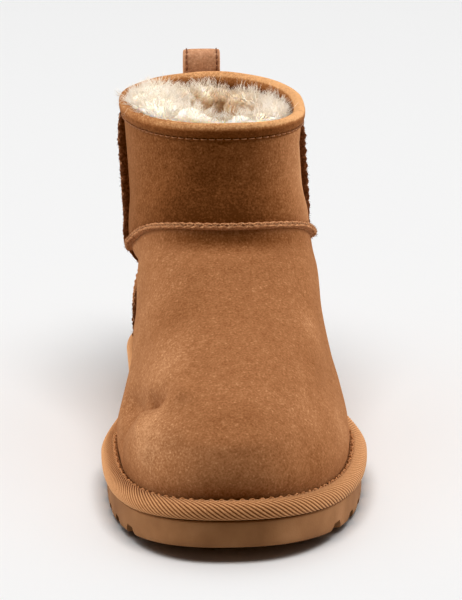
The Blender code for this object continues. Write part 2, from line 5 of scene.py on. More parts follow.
import bmesh
import bpy
import numpy as np
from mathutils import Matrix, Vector

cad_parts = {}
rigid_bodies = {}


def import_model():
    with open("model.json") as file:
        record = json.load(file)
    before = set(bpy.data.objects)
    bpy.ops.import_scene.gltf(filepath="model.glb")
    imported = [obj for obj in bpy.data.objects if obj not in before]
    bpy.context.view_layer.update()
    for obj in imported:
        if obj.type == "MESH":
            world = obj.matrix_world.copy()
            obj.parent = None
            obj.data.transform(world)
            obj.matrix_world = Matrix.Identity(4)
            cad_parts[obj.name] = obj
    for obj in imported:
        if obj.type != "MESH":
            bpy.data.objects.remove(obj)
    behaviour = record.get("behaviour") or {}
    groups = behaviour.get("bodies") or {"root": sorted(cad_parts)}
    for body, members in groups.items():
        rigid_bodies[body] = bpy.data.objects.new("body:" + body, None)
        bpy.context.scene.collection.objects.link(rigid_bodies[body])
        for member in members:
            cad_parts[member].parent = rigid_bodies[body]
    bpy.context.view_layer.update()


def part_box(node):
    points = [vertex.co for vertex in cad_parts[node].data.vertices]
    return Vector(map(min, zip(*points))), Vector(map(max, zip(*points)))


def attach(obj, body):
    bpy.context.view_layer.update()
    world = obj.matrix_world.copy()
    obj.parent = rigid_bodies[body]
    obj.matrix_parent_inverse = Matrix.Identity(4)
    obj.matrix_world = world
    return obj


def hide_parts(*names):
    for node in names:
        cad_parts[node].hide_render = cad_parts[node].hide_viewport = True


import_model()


# ============================================================
# 1. Outsole. One moulding of foamed EVA: a thick wall with a plain toe bumper, a flat tread
#    cut by V grooves that notch its lower edge, and a surface left dull by the mould.
# ============================================================

MM = 0.001
GAP = 0.3                      # left between pieces that touch, mm
WELT_HEIGHT = 7.2
SOLE_LOW, SOLE_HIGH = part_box("outsole")
SOLE_LENGTH = (SOLE_HIGH.y - SOLE_LOW.y) / MM
MIDDLE_SHIFT = 2.73            # the foot's own middle line lies this far to the inner side

# Curves along the foot, by distance from the heel end, mm.
FEATHER_HEIGHT = ((0, 24.0), (40, 24.0), (100, 22.0), (165, 19.5), (200, 20.0), (235, 22.5),
                  (262, 26.0))
CENTRE_SWING = ((0, 0.0), (50, 0.7), (120, 4.0), (165, 2.9), (205, 1.0), (262, -3.2))
TOE_SPRING = ((0, 1.4), (14, 0.0), (186, 0.0), (210, 1.2), (232, 3.3), (250, 5.8), (262, 7.6))
ARCH_LIFT = ((86, 0.0), (106, 2.6), (128, 0.0))
WIDTH_STATIONS = (0.0, 0.16, 0.37, 0.64, 1.0)
HEEL_ROUNDNESS, TOE_ROUNDNESS = 2.2, 2.42
SIDE_DENSITY = 0.16            # points stand this much closer along the sides

Section = namedtuple(
    "Section", "height front back heel_half waist_half ball_half heel_cap toe_cap lean")
SOLE_SECTION = Section(0.0, SOLE_LENGTH, 0.0, 36.0, 38.8, 52.5, 0.17, 0.60, 0.0)

SOLE_STEPS, SOLE_ROWS_ACROSS = 256, 8
# Side wall from the ground up: share of the height, outset from the outline.
SOLE_SIDE = ((0.00, -1.3), (0.03, -0.75), (0.08, -0.35), (0.20, -0.1), (0.40, 0.0),
             (0.62, 0.0), (0.86, 0.0), (0.95, -0.2), (1.00, -0.8))
TREADS = ((18.0, 5), (147.0, 6))     # first groove from the heel end, and how many
TREAD_PITCH = 17.0
TREAD_HALF_WIDTH, TREAD_TOP_HALF = 4.4, 2.3
TREAD_DEPTH, TREAD_BELOW, TREAD_REACH = 3.6, 4.0, 80.0
NOISE, RAMP = "ShaderNodeTexNoise", "ShaderNodeValToRGB"


def curve(xs, ys, x):
    """Smooth curve through the points, read at every x; the ys may be arrays themselves."""
    *ys, x = np.broadcast_arrays(*ys, x)
    xs, ys = np.array(xs, float), np.stack(ys).astype(float)
    x = np.clip(x, xs[0], xs[-1])
    gaps = np.diff(xs).reshape((-1,) + (1,) * np.ndim(x))
    slopes = np.diff(ys, axis=0) / gaps
    low, high = slopes[:-1], slopes[1:]
    turning = low * high <= 0
    low, high = np.where(turning, 1.0, low), np.where(turning, 1.0, high)
    one, two = 2 * gaps[1:] + gaps[:-1], gaps[1:] + 2 * gaps[:-1]
    inside = np.where(turning, 0.0, (one + two) / (one / low + two / high))
    tangents = np.concatenate([slopes[:1], inside, slopes[-1:]])
    k = np.clip(np.searchsorted(xs, x, side="right") - 1, 0, len(xs) - 2)
    gap = (xs[1:] - xs[:-1])[k]
    t = (x - xs[k]) / gap
    t2, t3 = t * t, t * t * t
    near, far, leave, arrive = (
        np.take_along_axis(rows, np.asarray(at)[None], 0)[0]
        for rows, at in ((ys, k), (ys, k + 1), (tangents, k), (tangents, k + 1)))
    return (near * (2 * t3 - 3 * t2 + 1) + leave * gap * (t3 - 2 * t2 + t)
            + far * (3 * t2 - 2 * t3) + arrive * gap * (t3 - t2))


def read(table, x):
    """A curve kept as a table of points."""
    return curve(*zip(*table), x)


def turns_of(count):
    """Turns round an outline, from the back of the heel over the outer side."""
    even = 2 * math.pi * np.arange(count) / count
    return even + SIDE_DENSITY / 2 * np.sin(2 * even)


def frontness(turn):
    """0 at the back of the heel, 1 at the tip of the toe."""
    return (1 - np.cos(turn)) / 2


def side_of(turn):
    """1 on the outer side, -1 on the inner."""
    return np.where(np.sin(turn) >= 0, 1.0, -1.0)


def rounded(share, roundness):
    """Width left along a rounded end, where share runs from 0 to 1 at its tip."""
    return (1 - np.clip(share, 0, 1) ** roundness) ** (1 / roundness)


def plan(section, turn):
    """Sideways place and distance from the heel end, at a turn round a section."""
    share = frontness(turn)
    along = section.back + (section.front - section.back) * share
    widths = (section.heel_half, section.heel_half, section.waist_half,
              section.ball_half, section.ball_half)
    half = curve(WIDTH_STATIONS, widths, share)
    half = half * rounded((section.heel_cap - share) / section.heel_cap, HEEL_ROUNDNESS)
    half = half * rounded((share - section.toe_cap) / (1 - section.toe_cap), TOE_ROUNDNESS)
    return side_of(turn) * half + read(CENTRE_SWING, along) + section.lean, along


def boot(sideways, along, height):
    """Points in the boot's own axes, mm."""
    places = np.broadcast_arrays(sideways - MIDDLE_SHIFT, SOLE_LENGTH / 2 - along, height)
    return np.stack(places, -1)


def along_of(points):
    """How far points lie from the heel end."""
    return SOLE_LENGTH / 2 - points[..., 1]


def sole_plan(turn, outset):
    """The outsole's outline, moved out by an amount."""
    wider = SOLE_SECTION._replace(
        front=SOLE_LENGTH + outset, back=-outset, heel_half=SOLE_SECTION.heel_half + outset,
        waist_half=SOLE_SECTION.waist_half + outset, ball_half=SOLE_SECTION.ball_half + outset)
    return plan(wider, turn)


def deck_height(along):
    """Top face of the outsole."""
    return read(FEATHER_HEIGHT, along) - WELT_HEIGHT - GAP


def ground_height(along, across):
    """Underside of the outsole; across is -1 at the inner edge and 1 at the outer."""
    return read(TOE_SPRING, along) + read(ARCH_LIFT, along) * (0.7 - 0.3 * across)


def strips(rows, columns, close_rows=True):
    """Four-sided faces over a grid of points whose columns, and rows if asked, meet again."""
    r = np.arange(rows if close_rows else rows - 1)[:, None]
    c = np.arange(columns)[None, :]
    r2, c2 = (r + 1) % rows, (c + 1) % columns
    corners = (r * columns + c, r2 * columns + c, r2 * columns + c2, r * columns + c2)
    return np.stack([np.broadcast_to(k, (r.size, c.size)) for k in corners], -1).reshape(-1, 4)


def new_object(name, data):
    """Object in the scene, at the origin."""
    made = bpy.data.objects.new(name, data)
    bpy.context.scene.collection.objects.link(made)
    return made


def piece(name, points, faces, surface, sharp=None, values=None):
    """Mesh object from points in mm, faces outward, with any values kept on its points."""
    mesh = bpy.data.meshes.new(name)
    mesh.from_pydata((np.asarray(points).reshape(-1, 3) * MM).tolist(), [],
                     [list(map(int, face)) for face in faces])
    bm = bmesh.new()
    bm.from_mesh(mesh)
    bmesh.ops.recalc_face_normals(bm, faces=bm.faces)
    if bm.calc_volume(signed=True) < 0:
        bmesh.ops.reverse_faces(bm, faces=bm.faces)
    bm.to_mesh(mesh)
    bm.free()
    for value_name, value in (values or {}).items():
        kept = mesh.attributes.new(value_name, "FLOAT", "POINT")
        kept.data.foreach_set("value", np.asarray(value, float).ravel())
    mesh.shade_smooth()
    if sharp:
        mesh.set_sharp_from_angle(angle=math.radians(sharp))
    mesh.materials.append(surface)
    return new_object(name, mesh)


def place(made, slot, *nodes):
    """Fix a finished piece to the boot and hide the solids that it stands for; its finish, slot,
    is not used.
    """
    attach(made, "root")
    if nodes:
        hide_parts(*nodes)
    return made


def hex_colour(code):
    """Linear colour, with alpha 1, from sRGB hex."""
    shares = [int(code[k:k + 2], 16) / 255 for k in (1, 3, 5)]
    return tuple(s / 12.92 if s <= 0.04045 else ((s + 0.055) / 1.055) ** 2.4
                 for s in shares) + (1.0,)


def add_node(tree, kind, inputs=None, **settings):
    """Add a node with its settings; an input takes a value, a socket or a node's first output."""
    made = tree.nodes.new(kind)
    for key, value in settings.items():
        setattr(made, key, value)
    for key, value in (inputs or {}).items():
        if isinstance(value, bpy.types.Node):
            value = value.outputs[0]
        if isinstance(value, bpy.types.NodeSocket):
            tree.links.new(value, made.inputs[key])
        else:
            made.inputs[key].default_value = value
    return made


def new_material(name, **shader_values):
    """A material's tree and its Principled shader, with the values that are even all over."""
    made = bpy.data.materials.new(name)
    made.use_nodes = True
    shader = made.node_tree.nodes["Principled BSDF"]
    for key, value in shader_values.items():
        shader.inputs[key.replace("_", " ")].default_value = value
    return made, made.node_tree, shader


def set_stops(ramp_node, *stops):
    """Colours of a ramp, as (place, sRGB hex)."""
    ramp = ramp_node.color_ramp
    while len(ramp.elements) < len(stops):
        ramp.elements.new(0.5)
    for element, (where, code) in zip(ramp.elements, stops):
        element.position = where
        element.color = hex_colour(code)


def feed(shader, colour, grain, strength, distance):
    """Give a shader its colour, and the relief of its grain; distance is in metres."""
    tree = shader.id_data
    relief_now = add_node(tree, "ShaderNodeBump",
                          {"Height": grain, "Strength": strength, "Distance": distance})
    tree.links.new(colour.outputs[0], shader.inputs["Base Color"])
    tree.links.new(relief_now.outputs[0], shader.inputs["Normal"])


def moulded_eva():
    """Foamed EVA, moulded: dull, faintly mottled by the foam's cells, with a fine stipple."""
    made, tree, shader = new_material("moulded_eva_foam", Roughness=0.78, IOR=1.48,
                                      Specular_IOR_Level=0.35)
    where = add_node(tree, "ShaderNodeTexCoord").outputs["Object"]
    # The mottling is about 18 mm across, and the mould's stipple 0.7 mm from grain to grain.
    cloud = add_node(tree, NOISE, {"Vector": where, "Scale": 55.0, "Detail": 5.0})
    grain = add_node(tree, NOISE, {"Vector": where, "Scale": 1400.0, "Detail": 2.0})
    tones = add_node(tree, RAMP, {"Fac": cloud})
    set_stops(tones, (0.32, "#825c3b"), (0.55, "#8e6744"), (0.75, "#9a724f"))
    feed(shader, tones, grain, 0.25, 0.0003)
    return made


def deck_over(points, faces, start, count, height_of, rows_across):
    """Close a sole outline with rows of faces from side to side."""
    columns = []
    for k in range(1, count // 2):
        outer, inner = points[start + k], points[start + count - k]
        column = [start + k]
        for step in range(1, rows_across):
            share = step / rows_across
            spot = outer + (inner - outer) * share
            column.append(len(points))
            points.append(np.array([spot[0], spot[1], height_of(along_of(spot), 1 - 2 * share)]))
        columns.append(column + [start + count - k])
    for one, two in zip(columns, columns[1:]):
        faces.extend((one[k], two[k], two[k + 1], one[k + 1]) for k in range(rows_across))
    for end, column in ((start, columns[0]), (start + count // 2, columns[-1])):
        faces.extend((end, column[k], column[k + 1]) for k in range(rows_across))


def uncut_sole(surface):
    """The outsole before its grooves."""
    turn = turns_of(SOLE_STEPS)
    rings = []
    for share, outset in SOLE_SIDE:
        sideways, along = sole_plan(turn, outset)
        low = ground_height(along, side_of(turn))
        rings.append(boot(sideways, along, low + (deck_height(along) - low) * share))
    points = list(np.concatenate(rings))
    faces = list(strips(len(rings), SOLE_STEPS, close_rows=False))
    deck_over(points, faces, 0, SOLE_STEPS, ground_height, SOLE_ROWS_ACROSS)
    deck_over(points, faces, (len(rings) - 1) * SOLE_STEPS, SOLE_STEPS,
              lambda along, across: deck_height(along), SOLE_ROWS_ACROSS // 2)
    return piece("outsole_eva", points, faces, surface)


def tread_cutter(surface):
    """Grooves across the sole that widen downward, one prism each."""
    widening = TREAD_HALF_WIDTH - TREAD_TOP_HALF
    flare = TREAD_TOP_HALF + widening * (1 + TREAD_BELOW / TREAD_DEPTH)
    points, faces = [], []
    for first, count in TREADS:
        for along in first + TREAD_PITCH * np.arange(count):
            ground = float(read(TOE_SPRING, along))
            a, b, c, d, e, f, g, h = range(len(points), len(points) + 8)
            for side in (-TREAD_REACH, TREAD_REACH):
                for shift, height in (
                        (-TREAD_TOP_HALF, TREAD_DEPTH), (TREAD_TOP_HALF, TREAD_DEPTH),
                        (flare, -TREAD_BELOW), (-flare, -TREAD_BELOW)):
                    points.append(boot(side, along + shift, ground + height))
            faces += [(a, b, c, d), (h, g, f, e), (a, e, f, b),
                      (b, f, g, c), (c, g, h, d), (d, h, e, a)]
    return piece("tread_cutter", points, faces, surface)


def applied(made, sharp=None):
    """The same object with its modifiers made part of its mesh."""
    graph = bpy.context.evaluated_depsgraph_get()
    mesh = bpy.data.meshes.new_from_object(made.evaluated_get(graph))
    made.modifiers.clear()
    made.data = mesh
    if sharp:
        mesh.set_sharp_from_angle(angle=math.radians(sharp))
    return made


eva = moulded_eva()
outsole = uncut_sole(eva)
cutter = tread_cutter(eva)
grooves = outsole.modifiers.new("grooves", "BOOLEAN")
grooves.solver = "EXACT"
grooves.object = cutter
applied(outsole, sharp=35)
bpy.data.objects.remove(cutter)
place(outsole, "moulded_sole", "outsole")


# ============================================================
# 2. Upper. Chestnut suede cut as vamp, shaft and quarters, a plain tone on each panel with
#    painted light and shade laid over it; soft, so it dents and creases at the flex line.
# ============================================================

WALL = 2.2
SHAFT_BASE, SPRING_FADE = 22.0, 75.0     # the feather line's curve fades out up to this height
RIM_DROP, RIM_DIP = 4.5, 1.5   # how much lower the rim lies at the back, and at its inner side
# The last: level, then the section's sizes, from the feather line up to the rim.
LAST_LEVELS = (0.00, 0.09, 0.20, 0.30, 0.40, 0.50, 0.60, 0.72, 0.86, 1.00)
LAST_SECTIONS = (
    Section(0.0, 255.0, 7.0, 31.5, 32.5, 47.7, 0.17, 0.60, -0.3),
    Section(9.0, 256.5, 5.5, 33.0, 32.5, 47.7, 0.18, 0.60, -0.5),
    Section(21.0, 252.5, 6.0, 33.5, 32.0, 44.8, 0.20, 0.56, -0.7),
    Section(31.0, 240.0, 8.0, 33.5, 32.3, 41.0, 0.24, 0.53, -0.8),
    Section(42.0, 214.0, 10.5, 33.5, 33.8, 39.0, 0.30, 0.50, -0.4),
    Section(53.0, 184.0, 12.5, 34.0, 35.2, 38.3, 0.36, 0.50, -0.4),
    Section(64.0, 158.0, 14.0, 34.5, 36.4, 37.6, 0.42, 0.50, -0.9),
    Section(78.0, 136.0, 15.0, 35.5, 36.8, 36.8, 0.46, 0.50, -1.7),
    Section(97.0, 127.5, 15.0, 36.0, 36.8, 36.8, 0.50, 0.50, -2.6),
    Section(119.5, 126.0, 16.0, 37.0, 37.4, 37.4, 0.50, 0.50, -3.4),
)
RIM_HEIGHT = LAST_SECTIONS[-1].height
SIDE_SEAM_TOP, SIDE_SEAM_FOOT = 64.0, 71.0
INSTEP_SEAM_HEIGHT = 79.6
INSTEP_SEAM_STOP = 1.7         # its fall ends this far ahead of the side seams
# For the outer (1) and the inner side (-1): how much lower the seam ends, and how late it falls.
INSTEP_SEAM_ENDS = {1: (23.2, 1.25), -1: (26.8, 1.35)}
UPPER_STEPS = 288
OUTER_ROWS, INNER_ROWS = 136, 30
MATH = "ShaderNodeMath"

LEVEL_TABLE = np.linspace(0, 1, 2001)
SECTION_TABLE = [curve(LAST_LEVELS, column, LEVEL_TABLE) for column in zip(*LAST_SECTIONS)]


def unit(vectors):
    """Vectors brought to length 1."""
    return vectors / np.maximum(np.linalg.norm(vectors, axis=-1, keepdims=True), 1e-9)


def bell(distance, half_width):
    """1 in the middle of a soft swell, falling to 0 on both sides."""
    return np.exp(-(distance / half_width) ** 2)


def last_section(level):
    """The last's section at each level."""
    return Section(*(np.interp(level, LEVEL_TABLE, column) for column in SECTION_TABLE))


def last(turn, level):
    """Points on the outer face of the upper before any crease."""
    turn, level = np.broadcast_arrays(np.asarray(turn, float), np.asarray(level, float))
    section = last_section(level)
    sideways, along = plan(section, turn)
    spring_left = np.clip(1 - section.height / SPRING_FADE, 0, 1)
    base = read(FEATHER_HEIGHT, along) * spring_left + SHAFT_BASE * (1 - spring_left)
    dip = RIM_DIP * np.clip(-np.sin(turn), 0, 1)
    drop = (RIM_DROP + dip) * (1 + np.cos(turn)) / 2 * level**3
    return boot(sideways, along, base + section.height - drop)


def last_normals(turn, level):
    """Directions straight out of the last."""
    step = 0.004
    low, high = np.maximum(level - step, 0), np.minimum(level + step, 1)
    upward = last(turn, high) - last(turn, low)
    return unit(np.cross(upward, last(turn + step, level) - last(turn - step, level)))


def level_of(height):
    """Level of the section that lies this far above the feather line."""
    return np.interp(height, SECTION_TABLE[0], LEVEL_TABLE)


def turn_at(level, along, side):
    """Turn whose point on a section lies this far from the heel end; side is 1 or -1."""
    section = last_section(np.asarray(level, float))
    share = (along - section.back) / (section.front - section.back)
    return side * np.arccos(1 - 2 * np.clip(share, 0, 1))


def spot_at(side, along, level):
    """Point of the last on one side, by its distance from the heel end and its level."""
    return last(turn_at(level, along, side), level)


def side_seam_along(level):
    """Distance of a side seam from the heel end."""
    return SIDE_SEAM_FOOT + (SIDE_SEAM_TOP - SIDE_SEAM_FOOT) * level


def instep_seam_height(turn):
    """Height of the instep seam above the feather line at each turn."""
    share, height = frontness(turn), np.zeros(np.shape(turn))
    for side, (fall, arch) in INSTEP_SEAM_ENDS.items():
        end_level = level_of(INSTEP_SEAM_HEIGHT - fall)
        end_along = side_seam_along(end_level) + INSTEP_SEAM_STOP
        crossed = frontness(turn_at(end_level, end_along, 1))
        down = np.clip((1 - share) / (1 - crossed), 0, 1) ** arch
        height = np.where(np.sin(turn) * side >= 0, INSTEP_SEAM_HEIGHT - fall * down, height)
    return height


# Dents and creases: side (-1 inner, 1 outer), then distance from the heel end
# and level at both ends, half width, and depth (a negative one stands proud).
CREASES = (
    (1, 90.0, 0.80, 88.0, 1.00, 14.0, 1.7),       # shaft, drawn in ahead of the outer seam
    (-1, 213.0, 0.305, 206.0, 0.275, 4.2, 5.2),   # the hollow above the big toe's joint
    (-1, 203.0, 0.26, 176.0, 0.18, 6.0, 4.4),     # and the fold that runs back from it
    (-1, 190.0, 0.16, 186.0, 0.03, 9.0, 2.6),     # and down to the welt
    (-1, 206.0, 0.375, 221.0, 0.345, 5.0, -1.8),  # the ridge over it
    (-1, 223.0, 0.34, 227.0, 0.26, 5.0, -1.3),    # and in front
    (-1, 236.0, 0.23, 218.0, 0.17, 8.5, -2.2),    # and the big toe's swell below
    (-1, 212.0, 0.262, 233.0, 0.15, 5.0, -1.9),   # the fold's lit edge, down over the swell
    (-1, 186.0, 0.17, 197.0, 0.06, 5.5, 1.4),     # and the trough behind it
    (-1, 172.0, 0.12, 186.0, 0.30, 9.0, 0.9),     # flex line, inner side
    (1, 168.0, 0.10, 182.0, 0.28, 10.0, 0.9),     # flex line, outer side
    (1, 205.0, 0.20, 222.0, 0.16, 9.0, -0.7),     # small toes
    (-1, 96.0, 0.43, 58.0, 0.38, 9.0, 4.0),       # hollow behind the ankle, inner side
    (-1, 88.0, 0.54, 66.0, 0.52, 8.0, -2.2),      # fullness where the seams meet over it
    (-1, 130.0, 0.34, 112.0, 0.40, 9.0, -1.5),    # and in front of it
    (-1, 150.0, 0.10, 126.0, 0.12, 9.0, 1.8),     # waist, inner side
    (-1, 150.0, 0.34, 120.0, 0.26, 10.0, -1.0),   # fullness over it
    (1, 128.0, 0.38, 100.0, 0.34, 8.0, 0.4),      # ankle, outer side
    (1, 150.0, 0.30, 120.0, 0.30, 10.0, -0.8),    # fullness in front of it
    (1, 60.0, 0.36, 24.0, 0.42, 9.0, 0.7),        # above the heel, outer side
    (-1, 58.0, 0.38, 26.0, 0.44, 9.0, 0.7),       # above the heel, inner side
    (1, 112.0, 0.86, 100.0, 0.70, 10.0, 0.7),     # shaft, outer side
    (-1, 116.0, 0.90, 108.0, 0.74, 9.0, 0.6),     # shaft, inner side
)
# Slow waves that keep the soft wall from lying true: direction per mm, phase, depth.
WAVES = ((0.055, 0.021, 0.034, 0.4, 0.22), (-0.031, 0.047, 0.052, 2.1, 0.20),
         (0.083, -0.036, 0.061, 4.0, 0.13), (0.044, 0.092, -0.071, 1.2, 0.10))
SEAM_PULL = 0.9
# How the seams draw in the wall: distance off the seam, half width, depth (negative stands
# proud); below the instep seam, also how much deeper over the front.
SIDE_SEAM_PULL = ((0.0, 5.0, 1.7), (8.0, 4.0, -0.35))
INSTEP_SEAM_PULL = ((0.0, 2.6, 0.5, 0.0), (5.5, 4.0, 0.4, 2.3), (-9.0, 6.0, -1.1, 0.0))
INSTEP_PULL_FADE = 6.0         # it fades in over this distance ahead of the side seams
OVER_FRONT, FRONT_RAMP = 0.55, 0.35      # share of the way forward where the front starts
HELD_BELOW_RIM, RIM_FADE = 7.0, 8.0      # the binding holds the wall true, and then lets go
CREASE_AT_RIM, CREASE_AT_WELT, WELT_FADE = 0.35, 0.2, 7.0
INSIDE = 1.35                  # creases are this much wider inside the wall
FOOT_BULGE, BULGE_HEIGHT, BULGE_HALF = 0.6, 6.0, 4.5     # fullness just above the welt
# Plain tones of vamp, shaft and quarter, and painted shade over the front of the shaft.
VAMP_TONE, SHAFT_TONE, SHAFT_FRONT_PAINTED_SHADE, QUARTER_TONE = -0.075, -0.05, -0.36, -0.06
FRONT_HALF_TURN = 0.75         # half of the turn over which the front's tones hold
# Painted light on the shaft's outer side and painted shade on its inner side; painted light on the
# vamp's inner side.
OUTER_SIDE_PAINTED_LIGHT, INNER_SIDE_PAINTED_LIGHT = 0.16, 0.06
# Painted shade on the shaft just over the instep seam, at the front and all round: amount, half
# width.
FRONT_SHADE, FRONT_SHADE_HALF, SHAFT_SHADE, SHAFT_SHADE_HALF = 0.10, 16.0, 0.05, 9.0
# Painted shade over the front of the vamp, a narrow shadow just under the instep seam and a broad
# band below it: distance below the instep seam, half width, amount.
VAMP_PAINTED_SHADE_BANDS = ((3.6, 2.8, 0.26), (12.0, 12.0, 0.04))
# Painted shade low over the toe, just above the welt: half height, amount.
TOE_PAINTED_SHADE_HALF, TOE_PAINTED_SHADE = 9.0, 0.06
# Painted highlights and painted shade in patches over the vamp: side, distance from the heel end
# and level of the middle, radius, and how much lighter it is.
PAINTED_LIGHT_PATCHES = (
    (-1, 226.0, 0.22, 11.0, 0.13), (-1, 236.0, 0.14, 12.0, 0.12), (-1, 190.0, 0.13, 10.0, -0.10),
    (-1, 208.0, 0.07, 7.0, -0.12), (-1, 196.0, 0.40, 12.0, 0.10), (-1, 170.0, 0.50, 11.0, -0.08),
    (1, 226.0, 0.25, 12.0, 0.08), (1, 190.0, 0.33, 11.0, -0.08), (1, 236.0, 0.09, 11.0, -0.12),
    (1, 200.0, 0.16, 9.0, 0.12), (1, 168.0, 0.46, 9.0, 0.10), (-1, 246.0, 0.30, 10.0, -0.06))


def relief(points, turn, level, widen):
    """How far the soft wall stands off the last: creases, waves, and the pull of its seams;
    the creases are wider on a face inside the wall."""
    amount = np.zeros(level.shape)
    for side, along_1, level_1, along_2, level_2, width, depth in CREASES:
        start, end = spot_at(side, along_1, level_1), spot_at(side, along_2, level_2)
        run = end - start
        share = np.clip(((points - start) @ run) / (run @ run), 0, 1)
        off = np.linalg.norm(points - start - share[..., None] * run, axis=-1)
        amount -= depth * bell(off / width, widen)
    for *direction, phase, depth in WAVES:
        amount += depth * np.sin(points @ np.array(direction) + phase)
    section = last_section(level)
    off_seam = along_of(points) - side_seam_along(level)
    # The binding holds the wall true at the rim, and the welt holds it at the feather line.
    below_rim = np.clip((RIM_HEIGHT - section.height - HELD_BELOW_RIM) / RIM_FADE, 0, 1)
    amount *= CREASE_AT_RIM + (1 - CREASE_AT_RIM) * below_rim
    amount *= np.clip(CREASE_AT_WELT + section.height / WELT_FADE, 0, 1)
    amount -= SEAM_PULL * below_rim * sum(
        depth * bell(np.abs(off_seam) - away, half) for away, half, depth in SIDE_SEAM_PULL)
    over_instep = section.height - instep_seam_height(turn)
    middle = np.clip((frontness(turn) - OVER_FRONT) / FRONT_RAMP, 0, 1)
    amount -= np.clip(off_seam / INSTEP_PULL_FADE, 0, 1) * SEAM_PULL * sum(
        (depth + deeper * middle) * bell(over_instep + below, half)
        for below, half, depth, deeper in INSTEP_SEAM_PULL)
    amount += FOOT_BULGE * bell(section.height - BULGE_HEIGHT, BULGE_HALF)
    return amount


def skin(turn, level, outset=0.0, widen=1.0):
    """Points on the finished outer face of the upper, or off it."""
    turn, level = np.broadcast_arrays(np.asarray(turn, float), np.asarray(level, float))
    points = last(turn, level)
    off = relief(points, turn, level, widen) + outset
    return points + last_normals(turn, level) * off[..., None]


def margin(turn, outset, above_deck):
    """The upright margin of the upper inside the welt, or rings further in or out."""
    outward = unit(last_normals(turn, 0.0) * (1.0, 1.0, 0.0))
    points = last(turn, 0.0) + outward * outset
    points[..., 2] = deck_height(along_of(points)) + above_deck
    return points


def suede(name, deep, dark, middle, light):
    """Suede, split hide brushed to a nap: no shine, a soft sheen at grazing angles, and
    flecks where single tufts lie over; four colours from dark to light."""
    made, tree, shader = new_material(
        name, Roughness=0.95, IOR=1.45, Specular_IOR_Level=0.10, Sheen_Weight=0.16,
        Sheen_Roughness=0.45, Sheen_Tint=hex_colour("#e8bd92"))
    where = add_node(tree, "ShaderNodeTexCoord").outputs["Object"]
    tone = add_node(tree, "ShaderNodeAttribute", attribute_name="tone").outputs["Fac"]
    shade = add_node(tree, MATH, {0: tone, 1: 0.5}, operation="ADD")
    # Single fibres are too fine to show, so the nap is drawn as tufts of 0.9 mm; the hide's
    # own mottling is about 4 mm across, and the brushed areas 28 mm.
    for scale, weight in ((1150.0, 0.60), (260.0, 0.22), (36.0, 0.20)):
        cloud = add_node(tree, NOISE,
                         {"Vector": where, "Scale": scale, "Detail": 2.0, "Roughness": 0.6})
        off = add_node(tree, MATH, {0: cloud, 1: 0.5}, operation="SUBTRACT")
        shade = add_node(tree, MATH, {0: off, 1: weight, 2: shade}, operation="MULTIPLY_ADD")
    # Single tufts that stand up catch the light.
    tufts = add_node(tree, NOISE, {"Vector": where, "Scale": 920.0, "Detail": 1.0})
    flecks = add_node(tree, "ShaderNodeMapRange",
                      {"Value": tufts, "From Min": 0.58, "From Max": 0.74, "To Max": 0.13})
    shade = add_node(tree, MATH, {0: shade, 1: flecks}, operation="ADD")
    tones = add_node(tree, RAMP, {"Fac": shade})
    set_stops(tones, (0.0, deep), (0.20, dark), (0.50, middle), (0.82, light))
    nap = add_node(tree, NOISE,
                   {"Vector": where, "Scale": 1300.0, "Detail": 3.0, "Roughness": 0.65})
    feed(shader, tones, nap, 0.35, 0.0004)
    return made


def panel_tone_and_painted_light(turn, level):
    """How much darker or lighter the suede is: a plain tone on each panel, with painted shade over
    the front of the shaft, under the instep seam and low over the toe, and painted light and shade
    on the sides and in patches over the vamp."""
    section, points, side = last_section(level), last(turn, level), np.sin(turn)
    along = section.back + (section.front - section.back) * frontness(turn)
    over_instep = section.height - instep_seam_height(turn)
    in_front = along > side_seam_along(level)
    front = bell(turn - math.pi, FRONT_HALF_TURN)
    # Shaft: painted shade over the front and just over the instep seam, painted light on the outer
    # side.
    shaft = (SHAFT_TONE + OUTER_SIDE_PAINTED_LIGHT * side - SHAFT_SHADE * bell(over_instep, SHAFT_SHADE_HALF)
             + front * (SHAFT_FRONT_PAINTED_SHADE - SHAFT_TONE
                        - FRONT_SHADE * bell(over_instep, FRONT_SHADE_HALF)))
    # Vamp: painted shade under the instep seam and low over the toe, painted light on the inner
    # side.
    bands = sum(dark * bell(over_instep + below, half) for below, half, dark in VAMP_PAINTED_SHADE_BANDS)
    vamp = (VAMP_TONE - front * (bands + TOE_PAINTED_SHADE * bell(section.height, TOE_PAINTED_SHADE_HALF))
            + INNER_SIDE_PAINTED_LIGHT * np.clip(-side, 0, 1))
    # Painted highlights and painted shade in patches.
    for *where, radius, lighter in PAINTED_LIGHT_PATCHES:
        off = np.linalg.norm(points - spot_at(*where), axis=-1)
        vamp = vamp + lighter * bell(off, radius)
    return np.where(in_front & (over_instep > 0), shaft, np.where(in_front, vamp, QUARTER_TONE))


def build_upper(surface):
    """One hollow wall, its outer face fine enough for the creases."""
    turn = turns_of(UPPER_STEPS)[None, :]
    up, down = np.linspace(0, 1, OUTER_ROWS)[:, None], np.linspace(1, 0, INNER_ROWS)[:, None]
    rings = np.concatenate([margin(turn, 0.0, GAP), skin(turn, up),
                            skin(turn, down, -WALL, INSIDE), margin(turn, -WALL, GAP)])
    tone = np.zeros(rings.shape[:2])
    tone[1:OUTER_ROWS + 1] = panel_tone_and_painted_light(turn, up)
    return piece("upper_suede", rings, strips(len(rings), UPPER_STEPS), surface, sharp=60,
                 values={"tone": tone})


chestnut = suede("brushed_suede_chestnut", "#5f3a1e", "#7c5130", "#9c704e", "#c79c77")
place(build_upper(chestnut), "suede", "upper")


# ============================================================
# 3. Welt. Twill tape rolled over a cord and sewn round the edge of the upper; its ribs run
#    on the slant, with a narrow band along the top where the tape turns and they run back.
# ============================================================

WELT_OUTSET = 2.0
WELT_STEPS, RIB_STEPS = 1876, 7   # points round the roll, and to a rib
RIB_HEIGHT, RIB_SLANT = 0.5, 1.4  # the slant is the run along the roll for each mm up it
RIB_START, RIB_FLATNESS, RIB_MEAN = 0.3, 0.8, 0.6        # phase, power and mean of their wave
